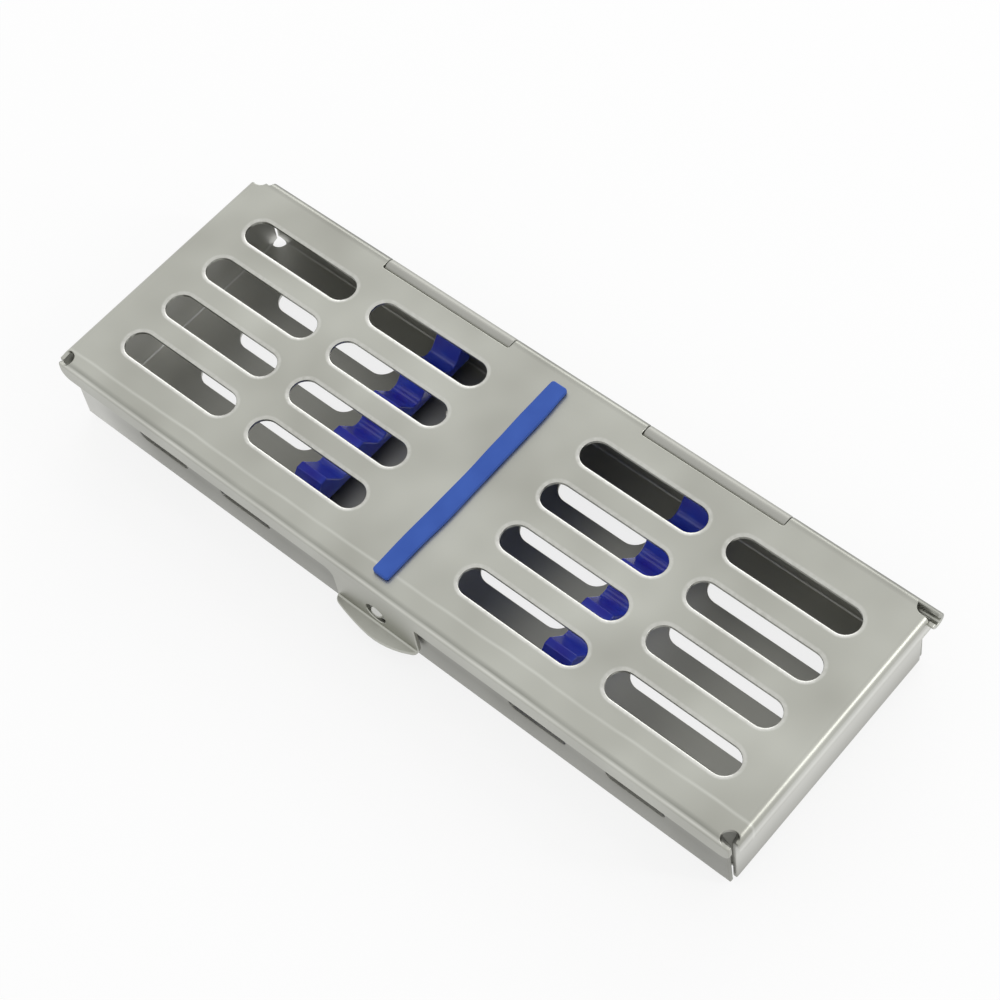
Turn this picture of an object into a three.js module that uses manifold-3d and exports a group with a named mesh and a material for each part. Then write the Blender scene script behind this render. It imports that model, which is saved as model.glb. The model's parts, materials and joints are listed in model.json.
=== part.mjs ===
// Dental instrument cassette: a folded steel tray and lid, hinged along the rear edge, that hold
// a row of hand instruments between notched silicone racks and a silicone hold-down pad.
// Millimetres, +Z up. The origin is the centre of the tray's underside, +X runs along the
// length to the right, -Y is the latch side and +Y the hinge side.
import * as THREE from 'three';
import { mergeVertices } from 'three/addons/utils/BufferGeometryUtils.js';
import Module from 'manifold-3d';

const wasm = await Module();
wasm.setup();

// Sheet and folds
const sheet = 1;
const lidBend = 1.6;
const trayBend = 1.5;
const bendSteps = 6;
const slotSteps = 12;

// Clearances and cutting allowance
const seatGap = 0.3;
const lidEndGap = 0.5;
const lidFrontGap = 0.6;
const overrun = 2;

// Tray
const trayLength = 177;
const closedHeight = 21;
const trayReliefRadius = 1.8;
const trayCornerSlit = 0.7;

// Lid
const flangeDepth = 5.8;
const flangeCornerRadius = 2.5;
const lidCornerSlit = 0.9;
const endFlangeInset = 2.1;
const tailShort = 0.4;
const reliefRadius = 1.95;
const reliefInset = 1.7;
const reliefDepth = 2.4;

// Punched slots in the lid: two columns each side of the middle
const slotRows = 4;
const rowPitch = 12.3;
const lidSlotLength = 30.8;
const lidSlotWidth = 6.7;
const lidColumnCentres = [-65.6, -28.8, 28.8, 65.6];

// Slots in the tray floor, in line with the lid's rows, on a centre of their own
const floorCentre = 1.8;
const floorSlotWidth = 7.2;
const outerSlotLength = 34.3;
const outerSlotCentre = 60.55;
const innerSlotLength = 23.3;
const innerSlotCentre = 15.7;

// Vent slots in the tray's front wall, just below the lid's flange
const ventLength = 14.3;
const ventHeight = 3;
const ventDrop = 5.6;
const ventCentres = [-63.8, -39.6, 39.6, 63.8];

// Hinge: sheet rolled round a wire pin, in knuckles that belong to the lid and the tray by turns
const pinRadius = 0.7;
const pinClearance = 0.1;
const pinShort = 5.6;
const hingeInset = 1.1;
const hingeLength = 176.8;
const hingeCentre = 3.1;
const knuckleCount = 5;
const rollSteps = 24;
const lidRollGap = THREE.MathUtils.degToRad(85);
const trayRollGap = THREE.MathUtils.degToRad(40);
const rollStartAngle = THREE.MathUtils.degToRad(10);

// Latch: a spring tab with a finger lip, and the stud that its round hole snaps over
const tabWidth = 21.9;
const tabCentre = 0.65;
const tabDrop = 8.7;
const tabBend = 1.5;
const lipReach = 3.5;
const lipEndReach = 1.9;
const lipDroop = 0.35;
const lipSteps = 16;
const catchCentre = 0.7;
const catchDrop = 5.1;
const catchRadius = 2.6;
const studReach = 1.9;
const studRadius = 1.8;
const studSteps = 20;

// Hold-down: strip outside the lid, neck through its slot, pad inside between the tray's walls
const barCentreX = 0.55;
const barWidth = 4.35;
const barHeight = 1.3;
const barPastSlot = 1.55;
const neckSlotWidth = 2.2;
const slotPastPad = 0.75;
const padFrontGap = 2.8;
const padRearGap = 5.2;
const padWidth = 18.7;
const padHeight = 9.2;
const padCorner = 3;

// Racks and their brackets. The tray is as deep as its racks and the gaps at their ends.
const rackSpacing = 67.4;
const rackPitch = 11.2;
const rackNotches = 5;
const rackFrontGap = 2.3;
const rackRearGap = 0.7;
const rackWidth = 7.2;
const rackTop = 10.3;
const rackRaise = 3.4;
const crestWidth = 1.8;
const notchRadius = 2.2;
const notchFlank = THREE.MathUtils.degToRad(38);
const notchSteps = 8;
const grooveDepth = 1.2;
const bracketFoot = 6;
const bracketShort = 1;

// Sizes and places worked out from those above
const rackLength = rackNotches * rackPitch;
const rackCentreY = (rackFrontGap - rackRearGap) / 2;
const bracketLength = rackLength - 2 * bracketShort;
const trayDepth = rackLength + rackFrontGap + rackRearGap + 2 * sheet;
const padLength = trayDepth - 2 * sheet - padFrontGap - padRearGap;
const barCentreY = (padFrontGap - padRearGap) / 2;
const neckSlotLength = padLength + 2 * slotPastPad;
const barLength = neckSlotLength + 2 * barPastSlot;
const trayEnd = trayLength / 2;
const trayFront = -trayDepth / 2;
const trayRear = trayDepth / 2;
const floorTop = sheet;
const lidUnder = closedHeight - sheet;
const wallTop = lidUnder - seatGap;
const lidEnd = trayEnd + lidEndGap + sheet;
const lidFront = trayFront - lidFrontGap - sheet;
const flangeBottom = closedHeight - flangeDepth;
const boreRadius = pinRadius + pinClearance;
const knuckleRadius = boreRadius + sheet;
const hingeY = trayRear - hingeInset;
const hingeZ = closedHeight - knuckleRadius;
const hingeStart = hingeCentre - hingeLength / 2;
const knucklePitch = hingeLength / knuckleCount;
const rollClearY = hingeY - knuckleRadius - seatGap;
const rollClearZ = hingeZ - knuckleRadius - seatGap;
const reliefX = lidEnd - reliefInset;
const reliefFrontY = lidFront + reliefInset;
const reliefRearY = hingeY + hingeInset / 2;
const flangeRear = hingeY - boreRadius - sheet / 2;
const tailRear = trayRear - tailShort;
const catchZ = flangeBottom - catchDrop;
const lipTop = flangeBottom - tabDrop;

function solidOf(geometry) {
  geometry.deleteAttribute('normal');
  geometry.deleteAttribute('uv');
  const merged = mergeVertices(geometry);
  const vertProperties = new Float32Array(merged.attributes.position.array);
  const triVerts = new Uint32Array(merged.index.array);
  return new wasm.Manifold(new wasm.Mesh({ numProp: 3, vertProperties, triVerts }));
}

function meshOf(name, solid, material) {
  const { numProp, vertProperties, triVerts } = solid.getMesh();
  const geometry = new THREE.BufferGeometry();
  const positions = new THREE.InterleavedBuffer(vertProperties, numProp);
  geometry.setAttribute('position', new THREE.InterleavedBufferAttribute(positions, 3, 0));
  geometry.setIndex(new THREE.BufferAttribute(triVerts, 1));
  const flat = geometry.toNonIndexed();
  flat.computeVertexNormals();
  const mesh = new THREE.Mesh(flat, material);
  mesh.name = name;
  return mesh;
}

// Extrusions of an outline drawn in the plane that stands square to X, Y or Z
function extrudeOf(shape, depth) {
  return new THREE.ExtrudeGeometry(shape, { depth, bevelEnabled: false, curveSegments: slotSteps });
}

function alongX(shape, from, to) {
  const turn = new THREE.Matrix4().makeBasis(
    new THREE.Vector3(0, 1, 0), new THREE.Vector3(0, 0, 1), new THREE.Vector3(1, 0, 0));
  return solidOf(extrudeOf(shape, to - from).applyMatrix4(turn).translate(from, 0, 0));
}

function alongY(shape, from, to) {
  const turn = new THREE.Matrix4().makeRotationX(Math.PI / 2);
  return solidOf(extrudeOf(shape, to - from).applyMatrix4(turn).translate(0, to, 0));
}

function alongZ(shape, from, to) {
  return solidOf(extrudeOf(shape, to - from).translate(0, 0, from));
}

function blockOf(low, high) {
  const size = high.map((value, i) => value - low[i]);
  const middle = high.map((value, i) => (value + low[i]) / 2);
  return solidOf(new THREE.BoxGeometry(...size).translate(...middle));
}

function postOf(x, y, radius, from, to) {
  const post = new THREE.CylinderGeometry(radius, radius, to - from, 2 * slotSteps);
  return solidOf(post.rotateX(Math.PI / 2).translate(x, y, (from + to) / 2));
}

// Points along an arc, both ends included
function arcPoints(centreU, centreV, radius, start, end, steps) {
  return Array.from({ length: steps + 1 }, (_, i) => {
    const angle = start + ((end - start) * i) / steps;
    return new THREE.Vector2(centreU + radius * Math.cos(angle), centreV + radius * Math.sin(angle));
  });
}

// Outline of a folded sheet: a web with a wall at one end or both, folded at an outside radius.
// The walls rise from the web where side is 1, and hang from it where side is -1. With no wall
// at its far end, the web is cut off square there.
function foldedShape({ from, to, web, side, bend, fromWall, toWall }) {
  const right = Math.PI / 2;
  const farEnd = toWall ? [
    ...arcPoints(to - bend, bend, bend, 3 * right, 4 * right, bendSteps),
    new THREE.Vector2(to, toWall),
    new THREE.Vector2(to - sheet, toWall),
    ...arcPoints(to - bend, bend, bend - sheet, 4 * right, 3 * right, bendSteps),
  ] : [new THREE.Vector2(to, 0), new THREE.Vector2(to, sheet)];
  const points = [
    new THREE.Vector2(from, fromWall),
    ...arcPoints(from + bend, bend, bend, 2 * right, 3 * right, bendSteps),
    ...farEnd,
    ...arcPoints(from + bend, bend, bend - sheet, 3 * right, 2 * right, bendSteps),
    new THREE.Vector2(from + sheet, fromWall),
  ];
  return new THREE.Shape(points.map((p) => new THREE.Vector2(p.x, web + side * p.y)));
}

// Round-ended slot, long way along the first axis of its plane
function slotShape(centreU, centreV, length, width) {
  const radius = width / 2;
  const reach = length / 2 - radius;
  const right = Math.PI / 2;
  return new THREE.Shape([
    ...arcPoints(centreU + reach, centreV, radius, -right, right, slotSteps),
    ...arcPoints(centreU - reach, centreV, radius, right, 3 * right, slotSteps),
  ]);
}

function slotRowCentres() {
  return Array.from({ length: slotRows }, (_, row) => (row - (slotRows - 1) / 2) * rowPitch);
}

function cutSlots(solid, columns, width, from, to) {
  let result = solid;
  for (const [centre, length] of columns) {
    for (const y of slotRowCentres()) {
      result = result.subtract(alongZ(slotShape(centre, y, length, width), from, to));
    }
  }
  return result;
}

// A rolled knuckle is an open ring of sheet. The lid's starts at the top, where its panel
// runs into it, and the tray's at the bottom, where its rear wall does.
function lidRollShape() {
  const top = Math.PI / 2;
  const end = top - 2 * Math.PI + lidRollGap;
  return new THREE.Shape([
    new THREE.Vector2(rollClearY, lidUnder),
    new THREE.Vector2(rollClearY, closedHeight),
    ...arcPoints(hingeY, hingeZ, knuckleRadius, top, end, rollSteps),
    ...arcPoints(hingeY, hingeZ, boreRadius, end, top, rollSteps),
  ]);
}

function trayRollShape() {
  const bottom = -Math.PI / 2;
  const start = bottom + rollStartAngle;
  const end = bottom + 2 * Math.PI - trayRollGap;
  return new THREE.Shape([
    ...arcPoints(hingeY, hingeZ, knuckleRadius, start, end, rollSteps),
    ...arcPoints(hingeY, hingeZ, boreRadius, end, start, rollSteps),
  ]);
}

function knuckleSpan(index) {
  const from = hingeStart + index * knucklePitch;
  return [from + seatGap / 2, from + knucklePitch - seatGap / 2];
}

function isLidKnuckle(index) {
  return index % 2 === 0;
}

const knuckles = Array.from({ length: knuckleCount }, (_, index) => index);

// Lid: panel with a front flange and two end flanges, rolled knuckles and punched slots
function lidSolid() {
  const frontHalf = lidEnd - lidCornerSlit;
  const webHalf = lidEnd - lidBend - sheet;
  const lengthwise = foldedShape({
    from: lidFront, to: hingeY, web: closedHeight, side: -1, bend: lidBend, fromWall: flangeDepth,
  });
  const flange = blockOf(
    [-frontHalf, lidFront, flangeBottom], [frontHalf, lidFront + sheet, closedHeight - lidBend]);
  const panel = alongX(lengthwise, -webHalf, webHalf)
    .add(flange)
    .subtract(flangeCornerCut(-frontHalf, 1))
    .subtract(flangeCornerCut(frontHalf, -1));
  const crosswise = foldedShape({
    from: -lidEnd, to: lidEnd, web: closedHeight, side: -1, bend: lidBend,
    fromWall: flangeDepth, toWall: flangeDepth,
  });
  const behindFlanges = blockOf(
    [-lidEnd - overrun, flangeRear, flangeBottom - overrun],
    [lidEnd + overrun, hingeY + overrun, wallTop]);
  let lid = panel.add(alongY(crosswise, lidFront + endFlangeInset, hingeY)).subtract(behindFlanges);
  for (const x of [-lidEnd, lidEnd - sheet]) {
    lid = lid.add(flangeTail(x));
  }
  const reliefBottom = closedHeight - reliefDepth;
  for (const x of [-reliefX, reliefX]) {
    lid = lid.subtract(postOf(x, reliefFrontY, reliefRadius, reliefBottom, closedHeight + overrun));
  }
  lid = cutTrayKnuckleBays(lid);
  for (const index of knuckles.filter(isLidKnuckle)) {
    lid = lid.add(alongX(lidRollShape(), ...knuckleSpan(index)));
  }
  lid = cutRearRelief(lid);
  lid = lid.subtract(neckSlot());
  const columns = lidColumnCentres.map((centre) => [centre, lidSlotLength]);
  lid = cutSlots(lid, columns, lidSlotWidth, lidUnder - overrun, closedHeight + overrun);
  return lid.subtract(tabRootCut());
}

// The end flanges run on below the roll's level, almost to the tray's rear
function flangeTail(from) {
  return blockOf([from, flangeRear - overrun, flangeBottom], [from + sheet, tailRear, rollClearZ]);
}

// Rounds a lower corner of the front flange
function flangeCornerCut(endX, inward) {
  const radius = flangeCornerRadius;
  const centreX = endX + inward * radius;
  const centreZ = flangeBottom + radius;
  const corner = blockOf(
    [Math.min(endX - inward * overrun, centreX), lidFront - overrun, flangeBottom - overrun],
    [Math.max(endX - inward * overrun, centreX), lidFront + sheet + overrun, centreZ]);
  const round = new THREE.CylinderGeometry(radius, radius, sheet + 4 * overrun, 4 * slotSteps);
  return corner.subtract(solidOf(round.translate(centreX, lidFront, centreZ)));
}

// Where the tray's knuckles stand, the lid's panel is cut back clear of them
function cutTrayKnuckleBays(lid) {
  let result = lid;
  for (const index of knuckles.filter((knuckle) => !isLidKnuckle(knuckle))) {
    const [from, to] = knuckleSpan(index);
    result = result.subtract(blockOf(
      [from - seatGap, rollClearY, lidUnder - overrun],
      [to + seatGap, hingeY + knuckleRadius + overrun, closedHeight + overrun]));
  }
  return result;
}

// The relief holes at the rear corners, which also open the front of the roll that passes there
function cutRearRelief(lid) {
  let result = lid;
  for (const x of [-reliefX, reliefX]) {
    const round = postOf(x, reliefRearY, reliefRadius, hingeZ - pinRadius, closedHeight + overrun);
    const ahead = blockOf(
      [x - 2 * reliefRadius, reliefRearY - 2 * reliefRadius, hingeZ - overrun],
      [x + 2 * reliefRadius, reliefRearY, closedHeight + 2 * overrun]);
    result = result.subtract(round.intersect(ahead));
  }
  return result;
}

function neckSlot() {
  return blockOf(
    [barCentreX - neckSlotWidth / 2, barCentreY - neckSlotLength / 2, lidUnder - overrun],
    [barCentreX + neckSlotWidth / 2, barCentreY + neckSlotLength / 2, closedHeight + overrun]);
}

// The flange's lower edge stops short of the tab by half the gap on each side of its hinge line
function tabRootCut() {
  return blockOf(
    [tabCentre - tabWidth / 2, lidFront - overrun, flangeBottom - overrun],
    [tabCentre + tabWidth / 2, lidFront + sheet + overrun, flangeBottom + seatGap / 2]);
}

// Latch tab: a drop of sheet in the flange's plane, folded out into a lip with an arched edge
function latchTabSolid() {
  const from = tabCentre - tabWidth / 2;
  const to = tabCentre + tabWidth / 2;
  const tab = alongX(tabSectionShape(), from, to)
    .intersect(alongZ(lipPlanShape(from, to), lipTop - sheet - overrun, flangeBottom));
  const hole = new THREE.CylinderGeometry(
    catchRadius, catchRadius, sheet + 2 * overrun, 2 * slotSteps);
  return tab.subtract(solidOf(hole.translate(catchCentre, lidFront + sheet / 2, catchZ)));
}

// Section of the tab, square to X: inside face, fold, and the lip that droops to its edge
function tabSectionShape() {
  const right = Math.PI / 2;
  const inside = lidFront + sheet;
  const top = flangeBottom - seatGap / 2;
  const centreY = inside - tabBend;
  const centreZ = lipTop - sheet + tabBend;
  const edge = lidFront - lipReach;
  return new THREE.Shape([
    new THREE.Vector2(lidFront, top),
    ...arcPoints(centreY, centreZ, tabBend - sheet, 0, -right, bendSteps),
    new THREE.Vector2(edge, lipTop - lipDroop),
    new THREE.Vector2(edge, lipTop - sheet - lipDroop),
    ...arcPoints(centreY, centreZ, tabBend, -right, 0, bendSteps),
    new THREE.Vector2(inside, top),
  ]);
}

// The lip from above: an arc that bulges from its reach at the ends to its full reach mid-way
function lipPlanShape(from, to) {
  const rise = lipReach - lipEndReach;
  const half = (to - from) / 2;
  const radius = (half * half + rise * rise) / (2 * rise);
  const centreX = (from + to) / 2;
  const centreY = lidFront - lipReach + radius;
  const spread = Math.asin(half / radius);
  const down = -Math.PI / 2;
  const back = lidFront + sheet + overrun;
  return new THREE.Shape([
    ...arcPoints(centreX, centreY, radius, down - spread, down + spread, lipSteps),
    new THREE.Vector2(to, back),
    new THREE.Vector2(from, back),
  ]);
}

// Catch stud: half a ball on the tray's front wall, whose tip stands a little out of the tab's hole
function catchStudSolid() {
  const ball = new THREE.SphereGeometry(1, studSteps, studSteps);
  ball.scale(studRadius, studReach, studRadius).translate(catchCentre, trayFront, catchZ);
  const outside = blockOf(
    [catchCentre - 2 * studRadius, trayFront - 2 * studReach, catchZ - 2 * studRadius],
    [catchCentre + 2 * studRadius, trayFront, catchZ + 2 * studRadius]);
  return solidOf(ball).intersect(outside);
}

// Tray: floor with four walls, open at the corners, and a rear wall rolled into knuckles
function traySolid() {
  const wallHalf = trayEnd - trayCornerSlit;
  const webHalf = trayEnd - trayBend - sheet;
  const lengthwise = foldedShape({
    from: trayFront, to: trayRear, web: 0, side: 1, bend: trayBend,
    fromWall: wallTop, toWall: hingeZ - knuckleRadius + sheet / 2,
  });
  const crosswise = foldedShape({
    from: -trayEnd, to: trayEnd, web: 0, side: 1, bend: trayBend, fromWall: wallTop, toWall: wallTop,
  });
  const endHalf = trayRear - trayBend;
  let tray = alongX(lengthwise, -webHalf, webHalf).add(alongY(crosswise, -endHalf, endHalf));
  for (const y of [trayFront, trayRear - sheet]) {
    tray = tray.add(blockOf([-wallHalf, y, trayBend], [wallHalf, y + sheet, wallTop]));
  }
  tray = tray.subtract(rollBay(-trayEnd - overrun, trayEnd + overrun));
  for (const index of knuckles.filter((knuckle) => !isLidKnuckle(knuckle))) {
    const [from, to] = knuckleSpan(index);
    tray = tray.add(wallUnderRoll(from, to)).add(alongX(trayRollShape(), from, to));
  }
  for (const x of [-1, 1]) {
    for (const y of [-1, 1]) {
      const relief = postOf(
        x * (trayEnd - trayBend), y * (trayRear - trayBend), trayReliefRadius, -overrun, 2 * trayBend);
      tray = tray.subtract(relief);
    }
  }
  const columns = [
    [floorCentre - outerSlotCentre, outerSlotLength],
    [floorCentre - innerSlotCentre, innerSlotLength],
    [floorCentre + innerSlotCentre, innerSlotLength],
    [floorCentre + outerSlotCentre, outerSlotLength],
  ];
  tray = cutSlots(tray, columns, floorSlotWidth, -overrun, floorTop + overrun);
  return cutVents(tray);
}

// The space that the lid's rolls and the ends of its panel turn in
function rollBay(from, to) {
  return blockOf([from, rollClearY, rollClearZ], [to, trayRear + overrun, closedHeight + overrun]);
}

// The rear wall goes up into the middle of the roll's thickness
function wallUnderRoll(from, to) {
  return blockOf(
    [from, trayRear - sheet, rollClearZ - sheet],
    [to, trayRear, hingeZ - boreRadius - sheet / 2]);
}

function cutVents(tray) {
  let result = tray;
  const centreZ = flangeBottom - ventDrop;
  for (const centre of ventCentres) {
    const vent = slotShape(floorCentre + centre, centreZ, ventLength, ventHeight);
    result = result.subtract(alongY(vent, trayFront - overrun, trayFront + sheet + overrun));
  }
  return result;
}

// Hinge pin: a plain wire, a little shorter than the row of knuckles
function hingePinSolid() {
  const length = hingeLength - 2 * pinShort;
  const wire = new THREE.CylinderGeometry(pinRadius, pinRadius, length, rollSteps);
  return solidOf(wire.rotateZ(Math.PI / 2).translate(hingeCentre, hingeY, hingeZ));
}

// Hold-down moulding: strip, neck and pad in one
function holdDownSolid() {
  const strip = blockOf(
    [barCentreX - barWidth / 2, barCentreY - barLength / 2, closedHeight],
    [barCentreX + barWidth / 2, barCentreY + barLength / 2, closedHeight + barHeight]);
  const neckHalf = neckSlotWidth / 2 - seatGap;
  const neckReach = neckSlotLength / 2 - seatGap;
  const neck = blockOf(
    [barCentreX - neckHalf, barCentreY - neckReach, lidUnder - sheet],
    [barCentreX + neckHalf, barCentreY + neckReach, closedHeight + barHeight / 2]);
  const pad = alongY(padShape(), barCentreY - padLength / 2, barCentreY + padLength / 2);
  return strip.add(neck).add(pad);
}

// Section of the pad, square to Y: flat against the lid, with round lower corners
function padShape() {
  const half = padWidth / 2;
  const left = barCentreX - half + padCorner;
  const right = barCentreX + half - padCorner;
  const cornerZ = lidUnder - padHeight + padCorner;
  const quarter = Math.PI / 2;
  return new THREE.Shape([
    new THREE.Vector2(barCentreX + half, lidUnder),
    new THREE.Vector2(barCentreX - half, lidUnder),
    ...arcPoints(left, cornerZ, padCorner, 2 * quarter, 3 * quarter, bendSteps),
    ...arcPoints(right, cornerZ, padCorner, 3 * quarter, 4 * quarter, bendSteps),
  ]);
}

// Rack: a bar of silicone with round-bottomed notches, grooved below to push onto its bracket.
// It is made about its own middle and placed by its mesh.
function rackSolid() {
  const groove = blockOf(
    [-sheet / 2 - seatGap, -bracketLength / 2 - seatGap, 0],
    [sheet / 2 + seatGap, bracketLength / 2 + seatGap, floorTop + rackRaise + grooveDepth]);
  return alongX(rackShape(), -rackWidth / 2, rackWidth / 2).subtract(groove);
}

function rackShape() {
  const half = rackLength / 2;
  const bottom = floorTop + rackRaise;
  const top = floorTop + rackTop;
  const points = [
    new THREE.Vector2(-half, bottom),
    new THREE.Vector2(half, bottom),
    new THREE.Vector2(half, top),
  ];
  for (let notch = rackNotches - 1; notch >= 0; notch -= 1) {
    points.push(...notchPoints((notch - (rackNotches - 1) / 2) * rackPitch, top));
  }
  points.push(new THREE.Vector2(-half, top));
  return new THREE.Shape(points);
}

// One notch, from its rear lip to its front lip: two flanks that run into a round bottom
function notchPoints(centre, top) {
  const mouth = (rackPitch - crestWidth) / 2;
  const apex = top - mouth / Math.tan(notchFlank);
  const roundCentre = apex + notchRadius / Math.sin(notchFlank);
  const start = -notchFlank;
  const end = -Math.PI + notchFlank;
  return [
    new THREE.Vector2(centre + mouth, top),
    ...arcPoints(centre, roundCentre, notchRadius, start, end, notchSteps),
    new THREE.Vector2(centre - mouth, top),
  ];
}

// Bracket: a steel angle whose foot lies on the tray floor and whose upstand carries the rack.
// The foot points away from the middle of the tray: outward is -1 or 1.
function bracketSolid(outward) {
  const edge = sheet / 2;
  const foot = outward * (bracketFoot - edge);
  const footBlock = blockOf(
    [Math.min(foot, -outward * edge), -bracketLength / 2, floorTop],
    [Math.max(foot, -outward * edge), bracketLength / 2, floorTop + sheet]);
  const upstand = blockOf(
    [-edge, -bracketLength / 2, floorTop],
    [edge, bracketLength / 2, floorTop + rackRaise + grooveDepth]);
  return footBlock.add(upstand);
}

function steel(color, roughness) {
  return new THREE.MeshStandardMaterial({ color, roughness, metalness: 1 });
}

function silicone(color) {
  return new THREE.MeshStandardMaterial({ color, roughness: 0.5, metalness: 0 });
}

const tray = new THREE.Group();
tray.add(meshOf('tray_pan', traySolid(), steel(0xa6a69f, 0.4)));
tray.add(meshOf('catch_stud', catchStudSolid(), steel(0xc8c8c4, 0.3)));
tray.add(meshOf('hinge_pin', hingePinSolid(), steel(0xc0c0bc, 0.25)));
for (const [side, outward] of [['left', -1], ['right', 1]]) {
  const x = floorCentre + (outward * rackSpacing) / 2;
  const bracket = meshOf(`${side}_rack_bracket`, bracketSolid(outward), steel(0xaaaaa4, 0.4));
  const rack = meshOf(`${side}_rack`, rackSolid(), silicone(0x2a3c9a));
  for (const mesh of [bracket, rack]) {
    mesh.position.set(x, rackCentreY, 0);
    tray.add(mesh);
  }
}

const latch = new THREE.Group();
latch.add(meshOf('latch_tab', latchTabSolid(), steel(0xb4b4ac, 0.35)));

const lid = new THREE.Group();
lid.add(meshOf('lid_panel', lidSolid(), steel(0xb8b8b0, 0.4)));
lid.add(meshOf('hold_down_bar', holdDownSolid(), silicone(0x3a5cb0)));
lid.add(latch);

const cassette = new THREE.Group();
cassette.add(tray, lid);

export default cassette;
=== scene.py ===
# %% [markdown]
# # A dental instrument cassette
# The cassette is a folded steel tray with a folded steel lid, hinged along its rear edge. Steam gets in
# through punched slots. Inside, the handles of the instruments lie in the notches of two silicone racks,
# and a silicone pad under the lid holds them down. This notebook builds what is seen of it, piece by piece.
#
# It starts with the frame: the solids that carry the motion, at their real size, in metres, with +Z up.
# Everything made below is placed by them.

# %% The frame
import json
from math import acos, asin, atan2, ceil, cos, pi, radians, sin, sqrt, tan

import bmesh
import bpy
from mathutils import Matrix, Vector
from mathutils.geometry import delaunay_2d_cdt


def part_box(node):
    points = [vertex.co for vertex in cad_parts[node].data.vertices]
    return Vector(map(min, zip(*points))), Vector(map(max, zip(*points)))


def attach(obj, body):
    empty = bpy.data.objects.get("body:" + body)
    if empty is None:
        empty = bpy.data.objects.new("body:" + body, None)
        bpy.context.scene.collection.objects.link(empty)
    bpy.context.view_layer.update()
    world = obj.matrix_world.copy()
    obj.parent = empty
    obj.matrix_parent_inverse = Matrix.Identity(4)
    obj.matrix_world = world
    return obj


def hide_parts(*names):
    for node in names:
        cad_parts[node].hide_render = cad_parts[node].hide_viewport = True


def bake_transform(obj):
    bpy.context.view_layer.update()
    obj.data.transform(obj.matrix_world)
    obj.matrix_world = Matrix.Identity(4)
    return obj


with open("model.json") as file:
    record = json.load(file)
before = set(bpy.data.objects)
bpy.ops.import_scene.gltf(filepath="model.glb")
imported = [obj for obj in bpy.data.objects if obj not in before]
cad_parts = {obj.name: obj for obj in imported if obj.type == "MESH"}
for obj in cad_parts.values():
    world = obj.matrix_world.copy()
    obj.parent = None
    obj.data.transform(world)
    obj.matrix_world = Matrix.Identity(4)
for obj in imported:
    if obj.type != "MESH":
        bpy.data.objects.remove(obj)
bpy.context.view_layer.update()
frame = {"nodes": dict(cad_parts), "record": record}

MM = 0.001
print("solids:", sorted(frame["nodes"]))

# %% [markdown]
# ## The camera
# The photograph looks down on the lid from the front right, and the camera is turned a little on its own
# axis. The place, the lens and the turn were fitted to the corners of the lid and the ends of its slots.

# %% Camera
CAMERA_PLACE = Vector((0.19364448, -0.15718156, 0.40189129))
CAMERA_AIM = Vector((0.00835951, -0.00132101, 0.021))
CAMERA_ROLL = radians(-10.6964)
CAMERA_LENS = 82.1265
CAMERA_SENSOR = 36.0


def add_camera():
    data = bpy.data.cameras.new("camera")
    data.lens = CAMERA_LENS
    data.sensor_width = CAMERA_SENSOR
    data.sensor_fit = "HORIZONTAL"
    data.clip_start = 10 * MM
    camera = bpy.data.objects.new("camera", data)
    look = (CAMERA_AIM - CAMERA_PLACE).to_track_quat("-Z", "Y").to_matrix().to_4x4()
    camera.matrix_world = Matrix.Translation(CAMERA_PLACE) @ look @ Matrix.Rotation(CAMERA_ROLL, 4, "Z")
    bpy.context.scene.collection.objects.link(camera)
    bpy.context.scene.camera = camera
    return camera


print("camera at", tuple(round(v, 3) for v in add_camera().matrix_world.translation))

# %% [markdown]
# ## The studio
# Satin steel looks like whatever stands round it, so the studio matters more than the steel's own colour.
# The background is plain white to the camera and to reflections, and a softer grey as a light. The main
# lamp is low behind the cassette: the rounded rims of the slots that face it light up. A narrow lamp to the
# right draws the bright line along the fold there.

# %% Colours and node helpers
WHITE = (1.0, 1.0, 1.0, 1.0)


def srgb(red, green, blue):
    """A colour read off a screen, as the linear light that a shader works with."""
    def linear(value):
        share = value / 255
        return share / 12.92 if share <= 0.04045 else ((share + 0.055) / 1.055) ** 2.4
    return (linear(red), linear(green), linear(blue), 1.0)


def feed(links, value, slot):
    """Fills an input, either from another node's output or with a plain value."""
    if isinstance(value, bpy.types.NodeSocket):
        links.new(value, slot)
    else:
        slot.default_value = value


def math_node(nodes, links, operation, *values):
    """A Math node fed with sockets or numbers, and its result."""
    node = nodes.new("ShaderNodeMath")
    node.operation = operation
    for slot, value in zip(node.inputs, values):
        feed(links, value, slot)
    return node.outputs[0]


def seen_directly(nodes, links):
    """1 for rays that show a surface to the camera or in a reflection, 0 for rays that light a surface."""
    path = nodes.new("ShaderNodeLightPath").outputs
    first = math_node(nodes, links, "MAXIMUM", path["Is Camera Ray"], path["Is Glossy Ray"])
    return math_node(nodes, links, "MAXIMUM", first, path["Is Transmission Ray"])


print("white paper is", [round(value, 3) for value in srgb(250, 250, 250)[:3]], "to a shader")

# %% The world
WORLD_LIGHT = 0.85


def build_world():
    world = bpy.data.worlds.new("studio")
    world.use_nodes = True
    nodes, links = world.node_tree.nodes, world.node_tree.links
    nodes.clear()
    seen = nodes.new("ShaderNodeBackground")
    seen.inputs["Color"].default_value = WHITE
    light = nodes.new("ShaderNodeBackground")
    light.inputs["Color"].default_value = WHITE
    light.inputs["Strength"].default_value = WORLD_LIGHT
    mix = nodes.new("ShaderNodeMixShader")
    links.new(seen_directly(nodes, links), mix.inputs[0])
    links.new(light.outputs[0], mix.inputs[1])
    links.new(seen.outputs[0], mix.inputs[2])
    output = nodes.new("ShaderNodeOutputWorld")
    links.new(mix.outputs[0], output.inputs["Surface"])
    bpy.context.scene.world = world


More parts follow.
